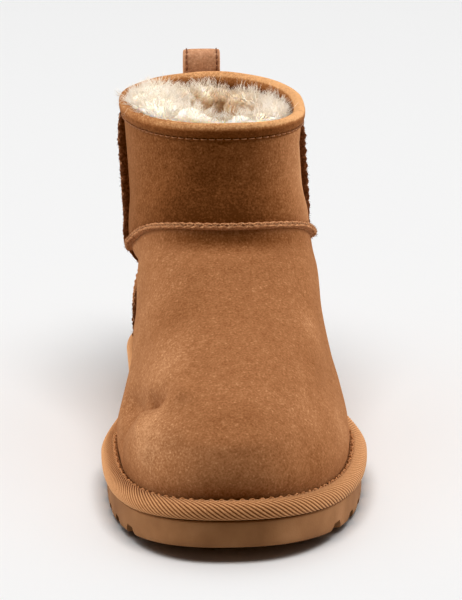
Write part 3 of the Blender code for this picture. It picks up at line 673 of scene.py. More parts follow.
# Section of the roll: share of the way from upper to outer edge, share of the height.
WELT_SECTION = (
    (0.00, 0.00), (0.30, 0.00), (0.60, 0.00), (0.80, 0.05), (0.92, 0.16), (0.98, 0.30),
    (1.00, 0.46), (0.98, 0.62), (0.92, 0.76), (0.82, 0.88), (0.68, 0.97), (0.52, 1.01),
    (0.36, 1.03), (0.22, 1.03), (0.10, 1.04), (0.02, 1.04), (-0.03, 1.00), (-0.03, 0.90))
WELT_ROWS, WELT_CREST = 28, 0.46
TURNED_BACK = 0.27             # share of the roll's width where the ribs run back
SCALLOP = 4.0                  # between the stitches that draw in the tape's inner edge
SCALLOP_SHARPNESS = 0.6
SCALLOP_DEPTH, DEEPER_AT_TOE, EDGE_LOWER_AT_TOE = 0.4, 1.0, 0.5
CHAIN_STEPS, CHAIN_OUTWARD, CHAIN_UPWARD = 1200, 0.15, 1.01
STITCH_ARCH = 0.45             # height of a stitch's arch for each mm of its length
FIELD = "GeometryNodeInputNamedAttribute"


def running_length(line):
    """How far along a line each of its points lies."""
    return np.concatenate([[0], np.cumsum(np.linalg.norm(np.diff(line, axis=0), axis=1))])


def read_along(line, reach, spots):
    """Values kept on the points of a line, read at distances along it."""
    return np.stack([np.interp(spots, reach, column) for column in line.T], -1)


def smooth_loop(corners, count):
    """Points at even distances along a line through the corners."""
    corners = np.array(corners, float)
    reach = running_length(corners)
    return read_along(corners, reach, np.linspace(0, reach[-1], count))


def outward_of(grid):
    """Outward directions over a grid of points that is closed both ways."""
    rows, columns = (np.roll(grid, -1, axis) - np.roll(grid, 1, axis) for axis in (0, 1))
    return unit(np.cross(rows, columns))


def welt_points(turn, outward, upward):
    """Points of the roll, from shares of its width and height."""
    inner, outer = margin(turn, GAP, 0.0), boot(*sole_plan(turn, WELT_OUTSET), 0.0)
    points = inner + (outer - inner) * np.asarray(outward)[..., None]
    points[..., 2] = deck_height(along_of(points)) + GAP + upward * WELT_HEIGHT
    return points


def woven_tape():
    """Cotton twill tape: matt yarn, with painted light on the crowns of its ribs and painted shade
    between them.
    """
    made, tree, shader = new_material(
        "cotton_twill_tape", Roughness=0.9, Specular_IOR_Level=0.15, Sheen_Weight=0.15,
        Sheen_Roughness=0.5, Sheen_Tint=hex_colour("#ffe6cc"))
    crown = add_node(tree, "ShaderNodeAttribute", attribute_name="crown").outputs["Fac"]
    where = add_node(tree, "ShaderNodeTexCoord").outputs["Object"]
    # Yarns are about 0.35 mm thick and lie in pairs, so the grain is 0.7 mm across.
    yarn = add_node(tree, NOISE, {"Vector": where, "Scale": 1500.0, "Detail": 2.0})
    mixed = add_node(tree, MATH, {0: yarn, 1: 0.35, 2: crown}, operation="MULTIPLY_ADD")
    tones = add_node(tree, RAMP, {"Fac": mixed})
    # Ramp from painted shade between the ribs to painted light on their crowns.
    set_stops(tones, (0.15, "#56341b"), (0.55, "#865934"), (1.00, "#c0936b"))
    feed(shader, tones, yarn, 0.4, 0.0003)
    return made


def build_welt(surface):
    """The roll with its ribs as real ridges, its points laid along them."""
    turn = turns_of(WELT_STEPS)
    section = smooth_loop(WELT_SECTION, WELT_ROWS)
    outward, upward = section.T
    edge = welt_points(turn, 1.0, WELT_CREST)
    run = running_length(np.vstack([edge, edge[:1]]))
    rise = running_length(section * (edge[0, 1] - margin(turn[:1], GAP, 0.0)[0, 1], WELT_HEIGHT))
    # Each row of points starts further round, so that its points follow the ribs.
    turned = rise[np.argmax((upward > 0.9) & (outward < TURNED_BACK))]
    shift = RIB_SLANT * np.where(rise > turned, 2 * turned - rise, rise)
    spots = run[-1] * np.arange(WELT_STEPS) / WELT_STEPS + shift[:, None]
    around = np.interp(spots % run[-1], run, np.append(turn, turn[0] + 2 * math.pi))
    grid = welt_points(around, section[:, :1], section[:, 1:])
    crown = np.abs(np.sin(math.pi * np.arange(WELT_STEPS) / RIB_STEPS + RIB_START)) ** RIB_FLATNESS
    # No ribs stand on the hidden underside or against the upper.
    covered = np.clip((upward - 0.02) * 12, 0, 1) * np.clip(outward * 8 - 0.4, 0, 1)
    ridges = covered[:, None] * (crown - RIB_MEAN) * RIB_HEIGHT
    grid = grid + outward_of(grid) * ridges[..., None]
    drawn = 1 - np.abs(np.sin(math.pi * spots / SCALLOP)) ** SCALLOP_SHARPNESS
    inner_edge = (bell(outward - 0.04, 0.10) * (upward > 0.5))[:, None]
    sunk = inner_edge * drawn
    side, toe = 1 - frontness(around) ** 4, frontness(around) ** 6
    grid[..., 2] -= (sunk * (SCALLOP_DEPTH + DEEPER_AT_TOE * toe)
                     + EDGE_LOWER_AT_TOE * toe * inner_edge)
    # Painted light along the sides and on the crowns of the ribs, and painted shade in the dips
    # between the stitches and along the inner edge round the toe.
    tone = crown * (1 - sunk) * (0.80 - 0.2 * side) + 0.42 * side - 0.5 * toe * inner_edge
    return piece("welt_tape", grid, strips(WELT_ROWS, WELT_STEPS), surface, values={"crown": tone})


def new_tree(name, *sockets):
    """Empty node tree that takes a shape and the named inputs; gives its start too."""
    tree = bpy.data.node_groups.new(name, "GeometryNodeTree")
    tree.interface.new_socket("Geometry", in_out="INPUT", socket_type="NodeSocketGeometry")
    for socket_name, kind in sockets:
        tree.interface.new_socket(socket_name, in_out="INPUT", socket_type="NodeSocket" + kind)
    tree.interface.new_socket("Geometry", in_out="OUTPUT", socket_type="NodeSocketGeometry")
    return tree, tree.nodes.new("NodeGroupInput").outputs


def end_tree(tree, shape, surface):
    """Close a tree with real, smooth geometry that carries its material."""
    real = add_node(tree, "GeometryNodeRealizeInstances", {"Geometry": shape})
    smooth = add_node(tree, "GeometryNodeSetShadeSmooth", {"Geometry": real})
    done = add_node(tree, "GeometryNodeSetMaterial", {"Geometry": smooth, "Material": surface})
    add_node(tree, "NodeGroupOutput", {"Geometry": done})
    return tree


def grown(made, tree, values):
    """Run a node tree on an object with its inputs set, and keep the plain mesh."""
    modifier = made.modifiers.new(tree.name, "NODES")
    modifier.node_group = tree
    sockets = {item.name: item.identifier for item in tree.interface.items_tree
               if item.in_out == "INPUT"}
    for name, value in values.items():
        modifier[sockets[name]] = value
    return applied(made)


def stitch_tree():
    """One arched stitch of thread on each point, laid along the point's own direction."""
    tree, given = new_tree("stitches", ("Stitch Length", "Float"), ("Thread Thickness", "Float"),
                           ("Arch", "Float"), ("Thread", "Material"))
    half, radius = (add_node(tree, MATH, {0: given[name], 1: 0.5}, operation="MULTIPLY")
                    for name in ("Stitch Length", "Thread Thickness"))
    back, sunk = (add_node(tree, MATH, {0: value, 1: -1.0}, operation="MULTIPLY")
                  for value in (half, radius))
    start = add_node(tree, "ShaderNodeCombineXYZ", {"X": back, "Z": sunk})
    crest = add_node(tree, "ShaderNodeCombineXYZ", {"Z": given["Arch"]})
    end = add_node(tree, "ShaderNodeCombineXYZ", {"X": half, "Z": sunk})
    arch = add_node(tree, "GeometryNodeCurveQuadraticBezier",
                    {"Resolution": 5, "Start": start, "Middle": crest, "End": end})
    round_thread = add_node(tree, "GeometryNodeCurvePrimitiveCircle",
                            {"Resolution": 6, "Radius": radius})
    thread = add_node(tree, "GeometryNodeCurveToMesh",
                      {"Curve": arch, "Profile Curve": round_thread, "Fill Caps": True})
    along, outward = (add_node(tree, FIELD, {"Name": name}, data_type="FLOAT_VECTOR")
                      for name in ("along", "outward"))
    way = add_node(tree, "FunctionNodeAxesToRotation",
                   {"Primary Axis": along, "Secondary Axis": outward},
                   primary_axis="X", secondary_axis="Z")
    laid = add_node(tree, "GeometryNodeInstanceOnPoints",
                    {"Points": given["Geometry"], "Instance": thread, "Rotation": way})
    return end_tree(tree, laid, given["Thread"])


STITCHES = stitch_tree()


def sew(name, line, outward, pitch, length, thickness, surface, closed=False, swing=0.0):
    """Stitches at even distances along a line, turned to and fro by an angle if asked."""
    if closed:
        line, outward = np.vstack([line, line[:1]]), np.vstack([outward, outward[:1]])
    reach = running_length(line)
    count = max(2, round(reach[-1] / pitch))
    stations = (np.arange(count) + 0.5) * reach[-1] / count
    before, here, after = (read_along(line, reach, stations + step)
                           for step in (-pitch / 4, 0.0, pitch / 4))
    outward, along = unit(read_along(outward, reach, stations)), unit(after - before)
    turn = np.radians(swing) * np.where(np.arange(count) % 2, 1, -1)[:, None]
    along = along * np.cos(turn) + np.cross(outward, along) * np.sin(turn)
    mesh = bpy.data.meshes.new(name)
    mesh.from_pydata((here * MM).tolist(), [], [])
    for value_name, value in (("along", along), ("outward", outward)):
        kept = mesh.attributes.new(value_name, "FLOAT_VECTOR", "POINT")
        kept.data.foreach_set("vector", value.ravel())
    return grown(new_object(name, mesh), STITCHES,
                 {"Stitch Length": length * MM, "Thread Thickness": thickness * MM,
                  "Arch": STITCH_ARCH * length * MM, "Thread": surface})


def sewing_thread(name, colour):
    """Waxed polyester thread: a slight shine, twisted from plies that catch the light."""
    made, tree, shader = new_material(name, Roughness=0.6)
    where = add_node(tree, "ShaderNodeTexCoord").outputs["Object"]
    # A turn of the plies is about 0.55 mm long.
    plies = add_node(tree, NOISE, {"Vector": where, "Scale": 1800.0, "Detail": 1.0})
    plain = hex_colour(colour)
    lighter = tuple(min(1.0, 1.35 * c) for c in plain[:3]) + (1.0,)
    tint = add_node(tree, "ShaderNodeMix", {"Factor": plies, 6: plain, 7: lighter},
                    data_type="RGBA", blend_type="MIX")
    tree.links.new(tint.outputs[2], shader.inputs["Base Color"])
    return made


tape = woven_tape()
place(build_welt(tape), "woven_tape", "welt_binding")
tan_thread = sewing_thread("polyester_thread_tan", "#a8764a")
# The seam that fixes the tape to the upper: close, slightly slanted stitches along its top.
chain_line = welt_points(turns_of(CHAIN_STEPS), CHAIN_OUTWARD, CHAIN_UPWARD)
chain_out = np.broadcast_to((0.0, 0.0, 1.0), chain_line.shape)
place(sew("welt_stitches", chain_line, chain_out, SCALLOP, 2.6, 0.7, tan_thread, True, 16.0),
      "woven_tape")


# ============================================================
# 4. Insole. A stiff board cut to lie inside the upper's margin, with a wool felt glued on
#    its top; dropped in on the outsole, it bears the foot.
# ============================================================

INSOLE_THICKNESS, INSOLE_STEPS = 4.8, 256
INSOLE_ROWS_UNDER, INSOLE_ROWS_OVER = 4, 36
# How far strands go astray, how their length is spread round its mean, how far their tips
# are drawn to the middle of their lock, and how much thinner the tips are.
ASTRAY, LENGTH_MEAN, LENGTH_SPREAD, DRAWN, THINNER = 0.35, 0.8, 0.25, 0.85, -0.72
FELT_FROM = -20.0              # strands stand from here back, where the opening shows them
VECTOR_MATH, STORE = "ShaderNodeVectorMath", "GeometryNodeStoreNamedAttribute"


def wool(name, stops, thin=0.0, **shader_values):
    """Wool: dull and pale, with painted shade, darker and warmer, toward the roots of its strands
    and down in the boot; thin is the share of light that passes through a strand."""
    made, tree, shader = new_material(name, Roughness=1.0, Specular_IOR_Level=0.05,
                                      **shader_values)
    tip = add_node(tree, "ShaderNodeAttribute", attribute_name="tip").outputs["Fac"]
    where = add_node(tree, "ShaderNodeTexCoord").outputs["Object"]
    # Wool yellows in patches of about 10 mm.
    patches = add_node(tree, NOISE, {"Vector": where, "Scale": 90.0, "Detail": 2.0})
    # Painted shade toward the roots of the strands, by their tip value, over the patches.
    mixed = add_node(tree, MATH, {0: patches, 1: 0.35, 2: tip}, operation="MULTIPLY_ADD")
    tones = add_node(tree, RAMP, {"Fac": mixed})
    set_stops(tones, *stops)
    # Painted shade down in the boot, darker and warmer from 135.5 mm above the ground, below the
    # rim, to 123 mm.
    height = add_node(tree, "ShaderNodeSeparateXYZ", {0: where}).outputs["Z"]
    depth = add_node(tree, "ShaderNodeMapRange",
                     {"Value": height, "From Min": 0.1355, "From Max": 0.123, "To Max": 0.95})
    warm = add_node(tree, "ShaderNodeMix", {0: depth, 6: tones, 7: hex_colour("#dfb570")},
                    data_type="RGBA").outputs[2]
    tree.links.new(warm, shader.inputs["Base Color"])
    if thin:
        through = add_node(tree, "ShaderNodeBsdfTranslucent", {"Color": warm})
        both = add_node(tree, "ShaderNodeMixShader", {0: thin, 1: shader, 2: through})
        tree.links.new(both.outputs[0], tree.nodes["Material Output"].inputs["Surface"])
    return made


def lump_tree():
    """Raises a fleece face in rounded tufts, with finer curls, where its cover says so."""
    tree, given = new_tree("tufts", ("Tuft Size", "Float"), ("Tuft Height", "Float"),
                           ("Wool", "Material"))
    here = add_node(tree, "GeometryNodeInputPosition")
    per_metre = add_node(tree, MATH, {0: 1.0, 1: given["Tuft Size"]}, operation="DIVIDE")
    cells = add_node(tree, "ShaderNodeTexVoronoi", {"Vector": here, "Scale": per_metre},
                     feature="SMOOTH_F1")
    crown = add_node(tree, MATH, {0: 0.6, 1: cells}, operation="SUBTRACT")
    finer = add_node(tree, MATH, {0: per_metre, 1: 2.6}, operation="MULTIPLY")
    curls = add_node(tree, NOISE, {"Vector": here, "Scale": finer, "Detail": 1.0})
    crown = add_node(tree, MATH, {0: curls, 1: 0.8, 2: crown}, operation="MULTIPLY_ADD")
    cover = add_node(tree, FIELD, {"Name": "cover"}, data_type="FLOAT")
    covered = add_node(tree, MATH, {0: crown, 1: cover}, operation="MULTIPLY")
    height = add_node(tree, MATH, {0: covered, 1: given["Tuft Height"]}, operation="MULTIPLY")
    face = add_node(tree, "GeometryNodeInputNormal")
    lift = add_node(tree, VECTOR_MATH, {0: face, "Scale": height}, operation="SCALE")
    moved = add_node(tree, "GeometryNodeSetPosition",
                     {"Geometry": given["Geometry"], "Offset": lift})
    kept = add_node(tree, STORE, {"Geometry": moved, "Name": "tip", "Value": 0.35},
                    data_type="FLOAT")
    return end_tree(tree, kept, given["Wool"])


def pile_tree():
    """Fleece: curved, tapered strands drawn together into locks, leaning a little upward."""
    tree, given = new_tree(
        "pile", ("Density", "Float"), ("Strand Length", "Float"), ("Strand Thickness", "Float"),
        ("Curl", "Float"), ("Lock Size", "Float"), ("Lean", "Float"), ("Seed", "Int"),
        ("Wool", "Material"))
    cover, tall = (add_node(tree, FIELD, {"Name": name}, data_type="FLOAT")
                   for name in ("cover", "tall"))
    density = add_node(tree, MATH, {0: given["Density"], 1: cover}, operation="MULTIPLY")
    sown = add_node(tree, "GeometryNodeDistributePointsOnFaces",
                    {"Mesh": given["Geometry"], 4: density, "Seed": given["Seed"]})
    chance = add_node(tree, "FunctionNodeRandomValue",
                      {0: (-1.0, -1.0, -1.0), 1: (1.0, 1.0, 1.0), "Seed": given["Seed"]},
                      data_type="FLOAT_VECTOR")
    points = sown.outputs["Points"]
    for name, value in (("root", add_node(tree, "GeometryNodeInputPosition")),
                        ("outward", sown.outputs["Normal"]), ("chance", chance)):
        points = add_node(tree, STORE, {"Geometry": points, "Name": name, "Value": value},
                          data_type="FLOAT_VECTOR")
    line = add_node(tree, "GeometryNodeCurvePrimitiveLine", {"End": (0.0, 0.0, 1.0)})
    strand = add_node(tree, "GeometryNodeResampleCurve", {"Curve": line, "Count": 4})
    laid = add_node(tree, "GeometryNodeInstanceOnPoints", {"Points": points, "Instance": strand})
    real = add_node(tree, "GeometryNodeRealizeInstances", {"Geometry": laid})

    # A strand leaves its root on its own way: out of the face, leaning, and a little astray.
    root, outward, own = (add_node(tree, FIELD, {"Name": name}, data_type="FLOAT_VECTOR")
                          for name in ("root", "outward", "chance"))
    share = add_node(tree, "GeometryNodeSplineParameter").outputs["Factor"]
    up = add_node(tree, "ShaderNodeCombineXYZ", {"Z": given["Lean"]})
    way = add_node(tree, VECTOR_MATH, {0: outward, 1: up}, operation="ADD")
    stray = add_node(tree, VECTOR_MATH, {0: own, "Scale": ASTRAY}, operation="SCALE")
    way = add_node(tree, VECTOR_MATH, {0: way, 1: stray}, operation="ADD")
    way = add_node(tree, VECTOR_MATH, {0: way}, operation="NORMALIZE")
    length = add_node(tree, MATH, {0: given["Strand Length"], 1: tall}, operation="MULTIPLY")
    first = add_node(tree, "ShaderNodeSeparateXYZ", {0: own})
    spread = add_node(tree, MATH, {0: first, 1: LENGTH_SPREAD, 2: LENGTH_MEAN},
                      operation="MULTIPLY_ADD")
    length = add_node(tree, MATH, {0: length, 1: spread}, operation="MULTIPLY")
    reach = add_node(tree, MATH, {0: length, 1: share}, operation="MULTIPLY")
    away = add_node(tree, VECTOR_MATH, {0: way, "Scale": reach}, operation="SCALE")
    straight = add_node(tree, VECTOR_MATH, {0: root, 1: away}, operation="ADD")

    # Its tip is drawn to the middle of its lock, and waves of about 3 mm bend it.
    per_metre = add_node(tree, MATH, {0: 1.0, 1: given["Lock Size"]}, operation="DIVIDE")
    locks = add_node(tree, "ShaderNodeTexVoronoi", {"Vector": root, "Scale": per_metre})
    to_lock = add_node(tree, VECTOR_MATH, {0: locks.outputs["Position"], 1: root},
                       operation="SUBTRACT")
    pull = add_node(tree, MATH, {0: share, 1: share}, operation="MULTIPLY")
    pull = add_node(tree, MATH, {0: pull, 1: DRAWN}, operation="MULTIPLY")
    drawn = add_node(tree, VECTOR_MATH, {0: to_lock, "Scale": pull}, operation="SCALE")
    waves = add_node(tree, NOISE, {"Vector": straight, "Scale": 300.0, "Detail": 1.0})
    swing = add_node(tree, VECTOR_MATH, {0: waves.outputs["Color"], 1: (0.5, 0.5, 0.5)},
                     operation="SUBTRACT")
    curl = add_node(tree, MATH, {0: given["Curl"], 1: share}, operation="MULTIPLY")
    wave = add_node(tree, VECTOR_MATH, {0: swing, "Scale": curl}, operation="SCALE")
    spot = add_node(tree, VECTOR_MATH, {0: straight, 1: drawn}, operation="ADD")
    spot = add_node(tree, VECTOR_MATH, {0: spot, 1: wave}, operation="ADD")
    bent = add_node(tree, "GeometryNodeSetPosition", {"Geometry": real, "Position": spot})
    tipped = add_node(tree, STORE, {"Geometry": bent, "Name": "tip", "Value": share},
                      data_type="FLOAT")
    profile = add_node(tree, "GeometryNodeCurvePrimitiveCircle", {"Resolution": 3, "Radius": 0.5})
    taper = add_node(tree, MATH, {0: share, 1: THINNER, 2: 1.0}, operation="MULTIPLY_ADD")
    taper = add_node(tree, MATH, {0: given["Strand Thickness"], 1: taper}, operation="MULTIPLY")
    hair = add_node(tree, "GeometryNodeCurveToMesh",
                    {"Curve": tipped, "Profile Curve": profile, "Scale": taper, "Fill Caps": True})
    return end_tree(tree, hair, given["Wool"])


TUFTS, PILE = lump_tree(), pile_tree()


def pile_on(name, base, keep, density, length, thickness, curl, lock, lean, seed, surface):
    """Strands over a base; density is to the square millimetre, sizes in mm, and keep says
    for each of the base's points whether this piece has it."""
    mesh = base.data.copy()
    cover, kept = np.empty(len(mesh.vertices)), mesh.attributes["cover"].data
    kept.foreach_get("value", cover)
    kept.foreach_set("value", cover * keep)
    return grown(new_object(name, mesh), PILE,
                 {"Density": density / MM**2, "Strand Length": length * MM,
                  "Strand Thickness": thickness * MM, "Curl": curl * MM, "Lock Size": lock * MM,
                  "Lean": lean, "Seed": seed, "Wool": surface})


def points_of(made):
    """Where an object's points are, mm."""
    spots = np.empty(len(made.data.vertices) * 3)
    made.data.vertices.foreach_get("co", spots)
    return spots.reshape(-1, 3) / MM


def build_insole(surface):
    """The board with its top face in rows close enough for tufts."""
    turn, top = turns_of(INSOLE_STEPS), GAP + INSOLE_THICKNESS
    points = list(np.concatenate([margin(turn, -WALL - GAP, height) for height in (GAP, top)]))
    faces = list(strips(2, INSOLE_STEPS, close_rows=False))
    for start, height, rows in (
            (0, GAP, INSOLE_ROWS_UNDER), (INSOLE_STEPS, top, INSOLE_ROWS_OVER)):
        deck_over(points, faces, start, INSOLE_STEPS,
                  lambda along, across: deck_height(along) + height, rows)
    spots = np.array(points)
    on_top = spots[:, 2] > deck_height(along_of(spots)) + top - 0.1
    made = piece("insole_fleece", points, faces, surface,
                 values={"cover": on_top, "tall": np.ones(len(points))})
    return grown(made, TUFTS, {"Tuft Size": 4.0 * MM, "Tuft Height": 1.6 * MM, "Wool": surface})


# Packed wool lets light through from lock to lock; a single strand is only pale.
packed_wool = wool("packed_wool", ((0.35, "#f3dfc0"), (0.50, "#fcf3e5"), (0.70, "#fffaf2")),
                   Subsurface_Weight=1.0, Subsurface_Scale=0.006,
                   Subsurface_Radius=(1.0, 0.8, 0.55))
strand_wool = wool("wool_strands", ((0.10, "#f8f0e4"), (0.50, "#fcf6ec"), (0.95, "#fefaf4")), 0.5)
insole = place(build_insole(packed_wool), "wool_felt", "insole")
place(pile_on("insole_pile", insole, points_of(insole)[:, 1] > FELT_FROM, 0.16, 5.0, 0.4, 2.4, 3.2,
              0.4, 5, strand_wool), "wool_felt")


# ============================================================
# 5. Fleece lining. A sleeve of wool pile on a knit backing, glued inside the upper from the
#    insole to just under the rim, where the pile stands up and spills over the edge.
# ============================================================

LINING_TOP = 0.935
LINING_STEPS, OUTER_FLEECE_ROWS, INNER_FLEECE_ROWS = 400, 24, 90
FLEECE_AT_TOE, FLEECE_AT_COLLAR = 5.0, 15.0
THINNER_TO_OUTER = 0.20
# The fleece's top edge, as shares of its thickness and of its rise: clear of the binding's
# inner leg, then up beside it and rounded over.
FLEECE_CROWN = (
    (0.0, 0.12), (0.01, 0.30), (0.03, 0.50), (0.08, 0.72), (0.16, 0.89), (0.28, 0.98),
    (0.42, 1.00), (0.56, 0.96), (0.70, 0.84), (0.82, 0.66), (0.92, 0.42), (0.98, 0.20))
CROWN_CLEAR, CLEAR_TO_OUTER = 1.9, 1.0
CROWN_RISE, CROWN_TO_INNER, CROWN_TO_BACK = 8.8, 2.6, -3.8
# Its billows, as waves round the collar, phase and share of its height.
BILLOWS = ((3, 0.6, 0.05), (7, 2.1, 0.08), (11, 0.3, 0.06), (19, 1.7, 0.06))
SPILL = 5.5                    # how far the fleece leans over the rim on the inner side
SWELL, SWELL_LEVEL, SWELL_HALF = 6.0, 0.82, 0.09         # where it is fullest, below the rim
VISIBLE_PILE = 46.0            # pile is drawn strand by strand this far down from the rim
# Cover and length of the strands down the inner face, by depth below the rim.
PILE_COVER = ((11.0, 20.0, VISIBLE_PILE, VISIBLE_PILE + 1), (1.0, 0.4, 0.4, 0.12))
PILE_TALL = ((10.0, 60.0), (1.0, 0.6))
# Along the boot, where the collar's pile is parted in two, and where the wall's begins.
COLLAR_MIDDLE, WALL_PILE_FROM = 60.0, -45.0


def build_lining(surface):
    """The sleeve that the strands stand on: up its outer face, over the crown and down."""
    turn, face, foot = turns_of(LINING_STEPS)[None, :], -WALL - GAP, INSOLE_THICKNESS + 2 * GAP
    up = np.linspace(0, LINING_TOP, OUTER_FLEECE_ROWS)[:, None]
    down = np.linspace(LINING_TOP, 0, INNER_FLEECE_ROWS)[:, None]
    billow = 1 + sum(depth * np.sin(waves * turn + phase) for waves, phase, depth in BILLOWS)
    full = FLEECE_AT_COLLAR * (1 - THINNER_TO_OUTER * np.sin(turn)) * (0.4 + 0.6 * billow)
    top_rise = (CROWN_RISE - CROWN_TO_INNER * np.sin(turn) + CROWN_TO_BACK * np.cos(turn)) * billow
    spill = SPILL * np.clip(-np.sin(turn), 0, 1) ** 2
    clear = CROWN_CLEAR + CLEAR_TO_OUTER * np.clip(np.sin(turn), 0, 1)
    rows = [margin(turn, face, foot), skin(turn, up, face, INSIDE)]
    for inward, rise in FLEECE_CROWN:
        over = spill * bell(inward - 0.16, 0.12)
        crown = skin(turn, LINING_TOP, face - clear - inward * (full - clear) + over)
        crown[..., 2] += rise * top_rise
        rows.append(crown)
    thick = (FLEECE_AT_TOE + (full - FLEECE_AT_TOE) * (down / LINING_TOP) ** 0.7
             + SWELL * bell(down - SWELL_LEVEL, SWELL_HALF))
    rows += [skin(turn, down, face - thick, INSIDE), margin(turn, face - FLEECE_AT_TOE, foot)]
    depth, backing = RIM_HEIGHT - last_section(down[:, 0]).height, np.ones(1 + OUTER_FLEECE_ROWS)
    on_crown = [rise > 0.8 or inward > 0.5 for inward, rise in FLEECE_CROWN]
    cover = np.concatenate([0 * backing, on_crown, np.interp(depth, *PILE_COVER), [0.0]])
    tall = np.concatenate([backing, np.full(len(FLEECE_CROWN), 0.9), np.interp(depth, *PILE_TALL),
                           [0.6]])
    made = piece("lining_fleece", np.concatenate(rows), strips(len(cover), LINING_STEPS), surface,
                 values={"cover": np.repeat(cover, LINING_STEPS),
                         "tall": np.repeat(tall, LINING_STEPS)})
    return grown(made, TUFTS, {"Tuft Size": 5.5 * MM, "Tuft Height": 2.6 * MM, "Wool": surface})


lining = place(build_lining(packed_wool), "fleece", "fleece_lining")
roots = points_of(lining)
high = roots[:, 2] > SHAFT_BASE + RIM_HEIGHT - VISIBLE_PILE
in_front = roots[:, 1] < COLLAR_MIDDLE
for pile_name, keep, density, seed in (
        ("collar_pile_front", high & in_front, 1.45, 21),
        ("collar_pile_back", high & ~in_front, 1.45, 22),
        ("wall_pile", ~high & (roots[:, 1] > WALL_PILE_FROM), 0.8, 23)):
    place(pile_on(pile_name, lining, keep, density, 4.6, 0.20, 7.0, 4.4, 0.0, seed, strand_wool),
          "fleece")


# ============================================================
# 6. Collar binding. A suede strip folded over the rim and padded by the pile, held by one
#    row of stitches in the groove below the roll; the groove runs higher at the front.
# ============================================================

BINDING_STEPS = 576
# Section: outset from the upper's outer face, share of the outer leg's drop, rise.
BINDING_SECTION = (
    (0.10, 1.16, 0.0), (0.35, 1.17, 0.0), (0.60, 1.12, 0.0), (0.72, 1.05, 0.0), (0.50, 0.98, 0.0),
    (0.12, 0.93, 0.0), (0.50, 0.87, 0.0), (0.92, 0.78, 0.0), (1.22, 0.64, 0.0), (1.38, 0.46, 0.0),
    (1.42, 0.28, 0.0), (1.35, 0.10, 0.0), (1.20, 0.0, 0.35), (0.85, 0.0, 1.10), (0.25, 0.0, 1.65),
    (-0.50, 0.0, 1.95), (-1.50, 0.0, 1.85), (-2.50, 0.0, 1.40), (-3.20, 0.0, 0.70),
    (-3.60, 0.0, 0.0), (-3.80, 0.20, 0.0), (-3.80, 0.45, 0.0), (-3.60, 0.60, 0.0),
    (-3.10, 0.64, 0.0), (-2.60, 0.60, 0.0), (-2.50, 0.30, 0.0), (-2.50, 0.0, 0.30),
    (0.08, 0.0, 0.30), (0.08, 0.40, 0.0), (0.05, 0.80, 0.0))
GROOVE = 5                     # the row of the section that lies in the groove
OUTER_LEG, LONGER_BEHIND = 4.9, 2.8
BINDING_STITCH = 3.3
STITCH_PULL = (0.10, 0.16, 0.14, 0.08)   # of each stitch on the groove's rows, from above it
FLARE = 1.3                    # the rim leans out this much at the front
# Painted light on top of the roll and more on its outer side; painted shade in the groove and on
# the legs below.
ROLL_PAINTED_LIGHT, GROOVE_PAINTED_SHADE, ROLL_OUTER_SIDE_PAINTED_LIGHT = 0.18, -0.36, 0.14
GROOVE_STEPS = 720


def binding_drop(turn):
    """Length of the outer leg: shorter over the front."""
    return OUTER_LEG + LONGER_BEHIND * ((1 + np.cos(turn)) / 2) ** 2


def binding_row(turn, row, lift=0.0):
    """Points along one row of the binding's section; its roll is a little uneven."""
    outset, down, rise = BINDING_SECTION[row]
    level = level_of(RIM_HEIGHT - down * binding_drop(turn))
    outset = outset + FLARE * frontness(turn) ** 3 * max(0.0, 1 - down) + lift
    outset = outset + 0.16 * np.sin(5 * turn + 1.0) * (down == 0) * (rise > 0)
    points = skin(turn, level, outset)
    points[..., 2] += rise * (1 + 0.07 * np.sin(4 * turn + 0.6) + 0.05 * np.sin(9 * turn))
    return points


def build_binding(surface):
    """The folded strip, drawn in a little at each stitch of the groove."""
    turn = turns_of(BINDING_STEPS)
    grid = np.stack([binding_row(turn, row) for row in range(len(BINDING_SECTION))])
    phase = 2 * math.pi * running_length(grid[GROOVE]) / BINDING_STITCH
    for row, depth in enumerate(STITCH_PULL, GROOVE - 1):
        grid[row] -= last_normals(turn, 0.95) * (depth * np.cos(phase))[:, None]
    # Painted light over the top of the roll, more on its outer side, and painted shade in the
    # groove and on the legs below the roll, most at the front.
    brushed = np.array([ROLL_PAINTED_LIGHT if rise > 0.3 else GROOVE_PAINTED_SHADE if down > 0.25 else 0.0
                        for _, down, rise in BINDING_SECTION])[:, None]
    tone = np.where(brushed < 0, brushed * (0.3 + 0.7 * frontness(turn) ** 4),
                    brushed + ROLL_OUTER_SIDE_PAINTED_LIGHT * np.sin(turn) * (brushed > 0))
    return piece("collar_binding_suede", grid, strips(len(grid), BINDING_STEPS), surface,
                 values={"tone": tone})


binding_suede = suede("binding_suede", "#5f3a1e", "#764a2a", "#976842", "#cda277")
place(build_binding(binding_suede), "binding_suede", "collar_binding")
seam_turn = turns_of(GROOVE_STEPS)
dull_thread = sewing_thread("polyester_thread_dull_tan", "#875c3a")
place(sew("binding_stitches", binding_row(seam_turn, GROOVE - 1, 0.05),
          last_normals(seam_turn, 0.93), BINDING_STITCH, 2.4, 0.6, dull_thread, True),
      "binding_suede")


# ============================================================
# 7. Side seams. Vamp, shaft and quarter meet in a seam sewn inside out and left standing:
#    two cut edges of suede side by side, overcast with a zigzag thread.
# ============================================================

SEAM_HALF_WIDTH, SEAM_TAPER = 1.75, 12.0
SEAM_HEIGHT = {"outer": 4.9, "inner": 4.5}
SEAM_BELOW_RIM, SEAM_ABOVE_WELT = 3.6, 0.6
SIDE_SEAM_STEPS = 300
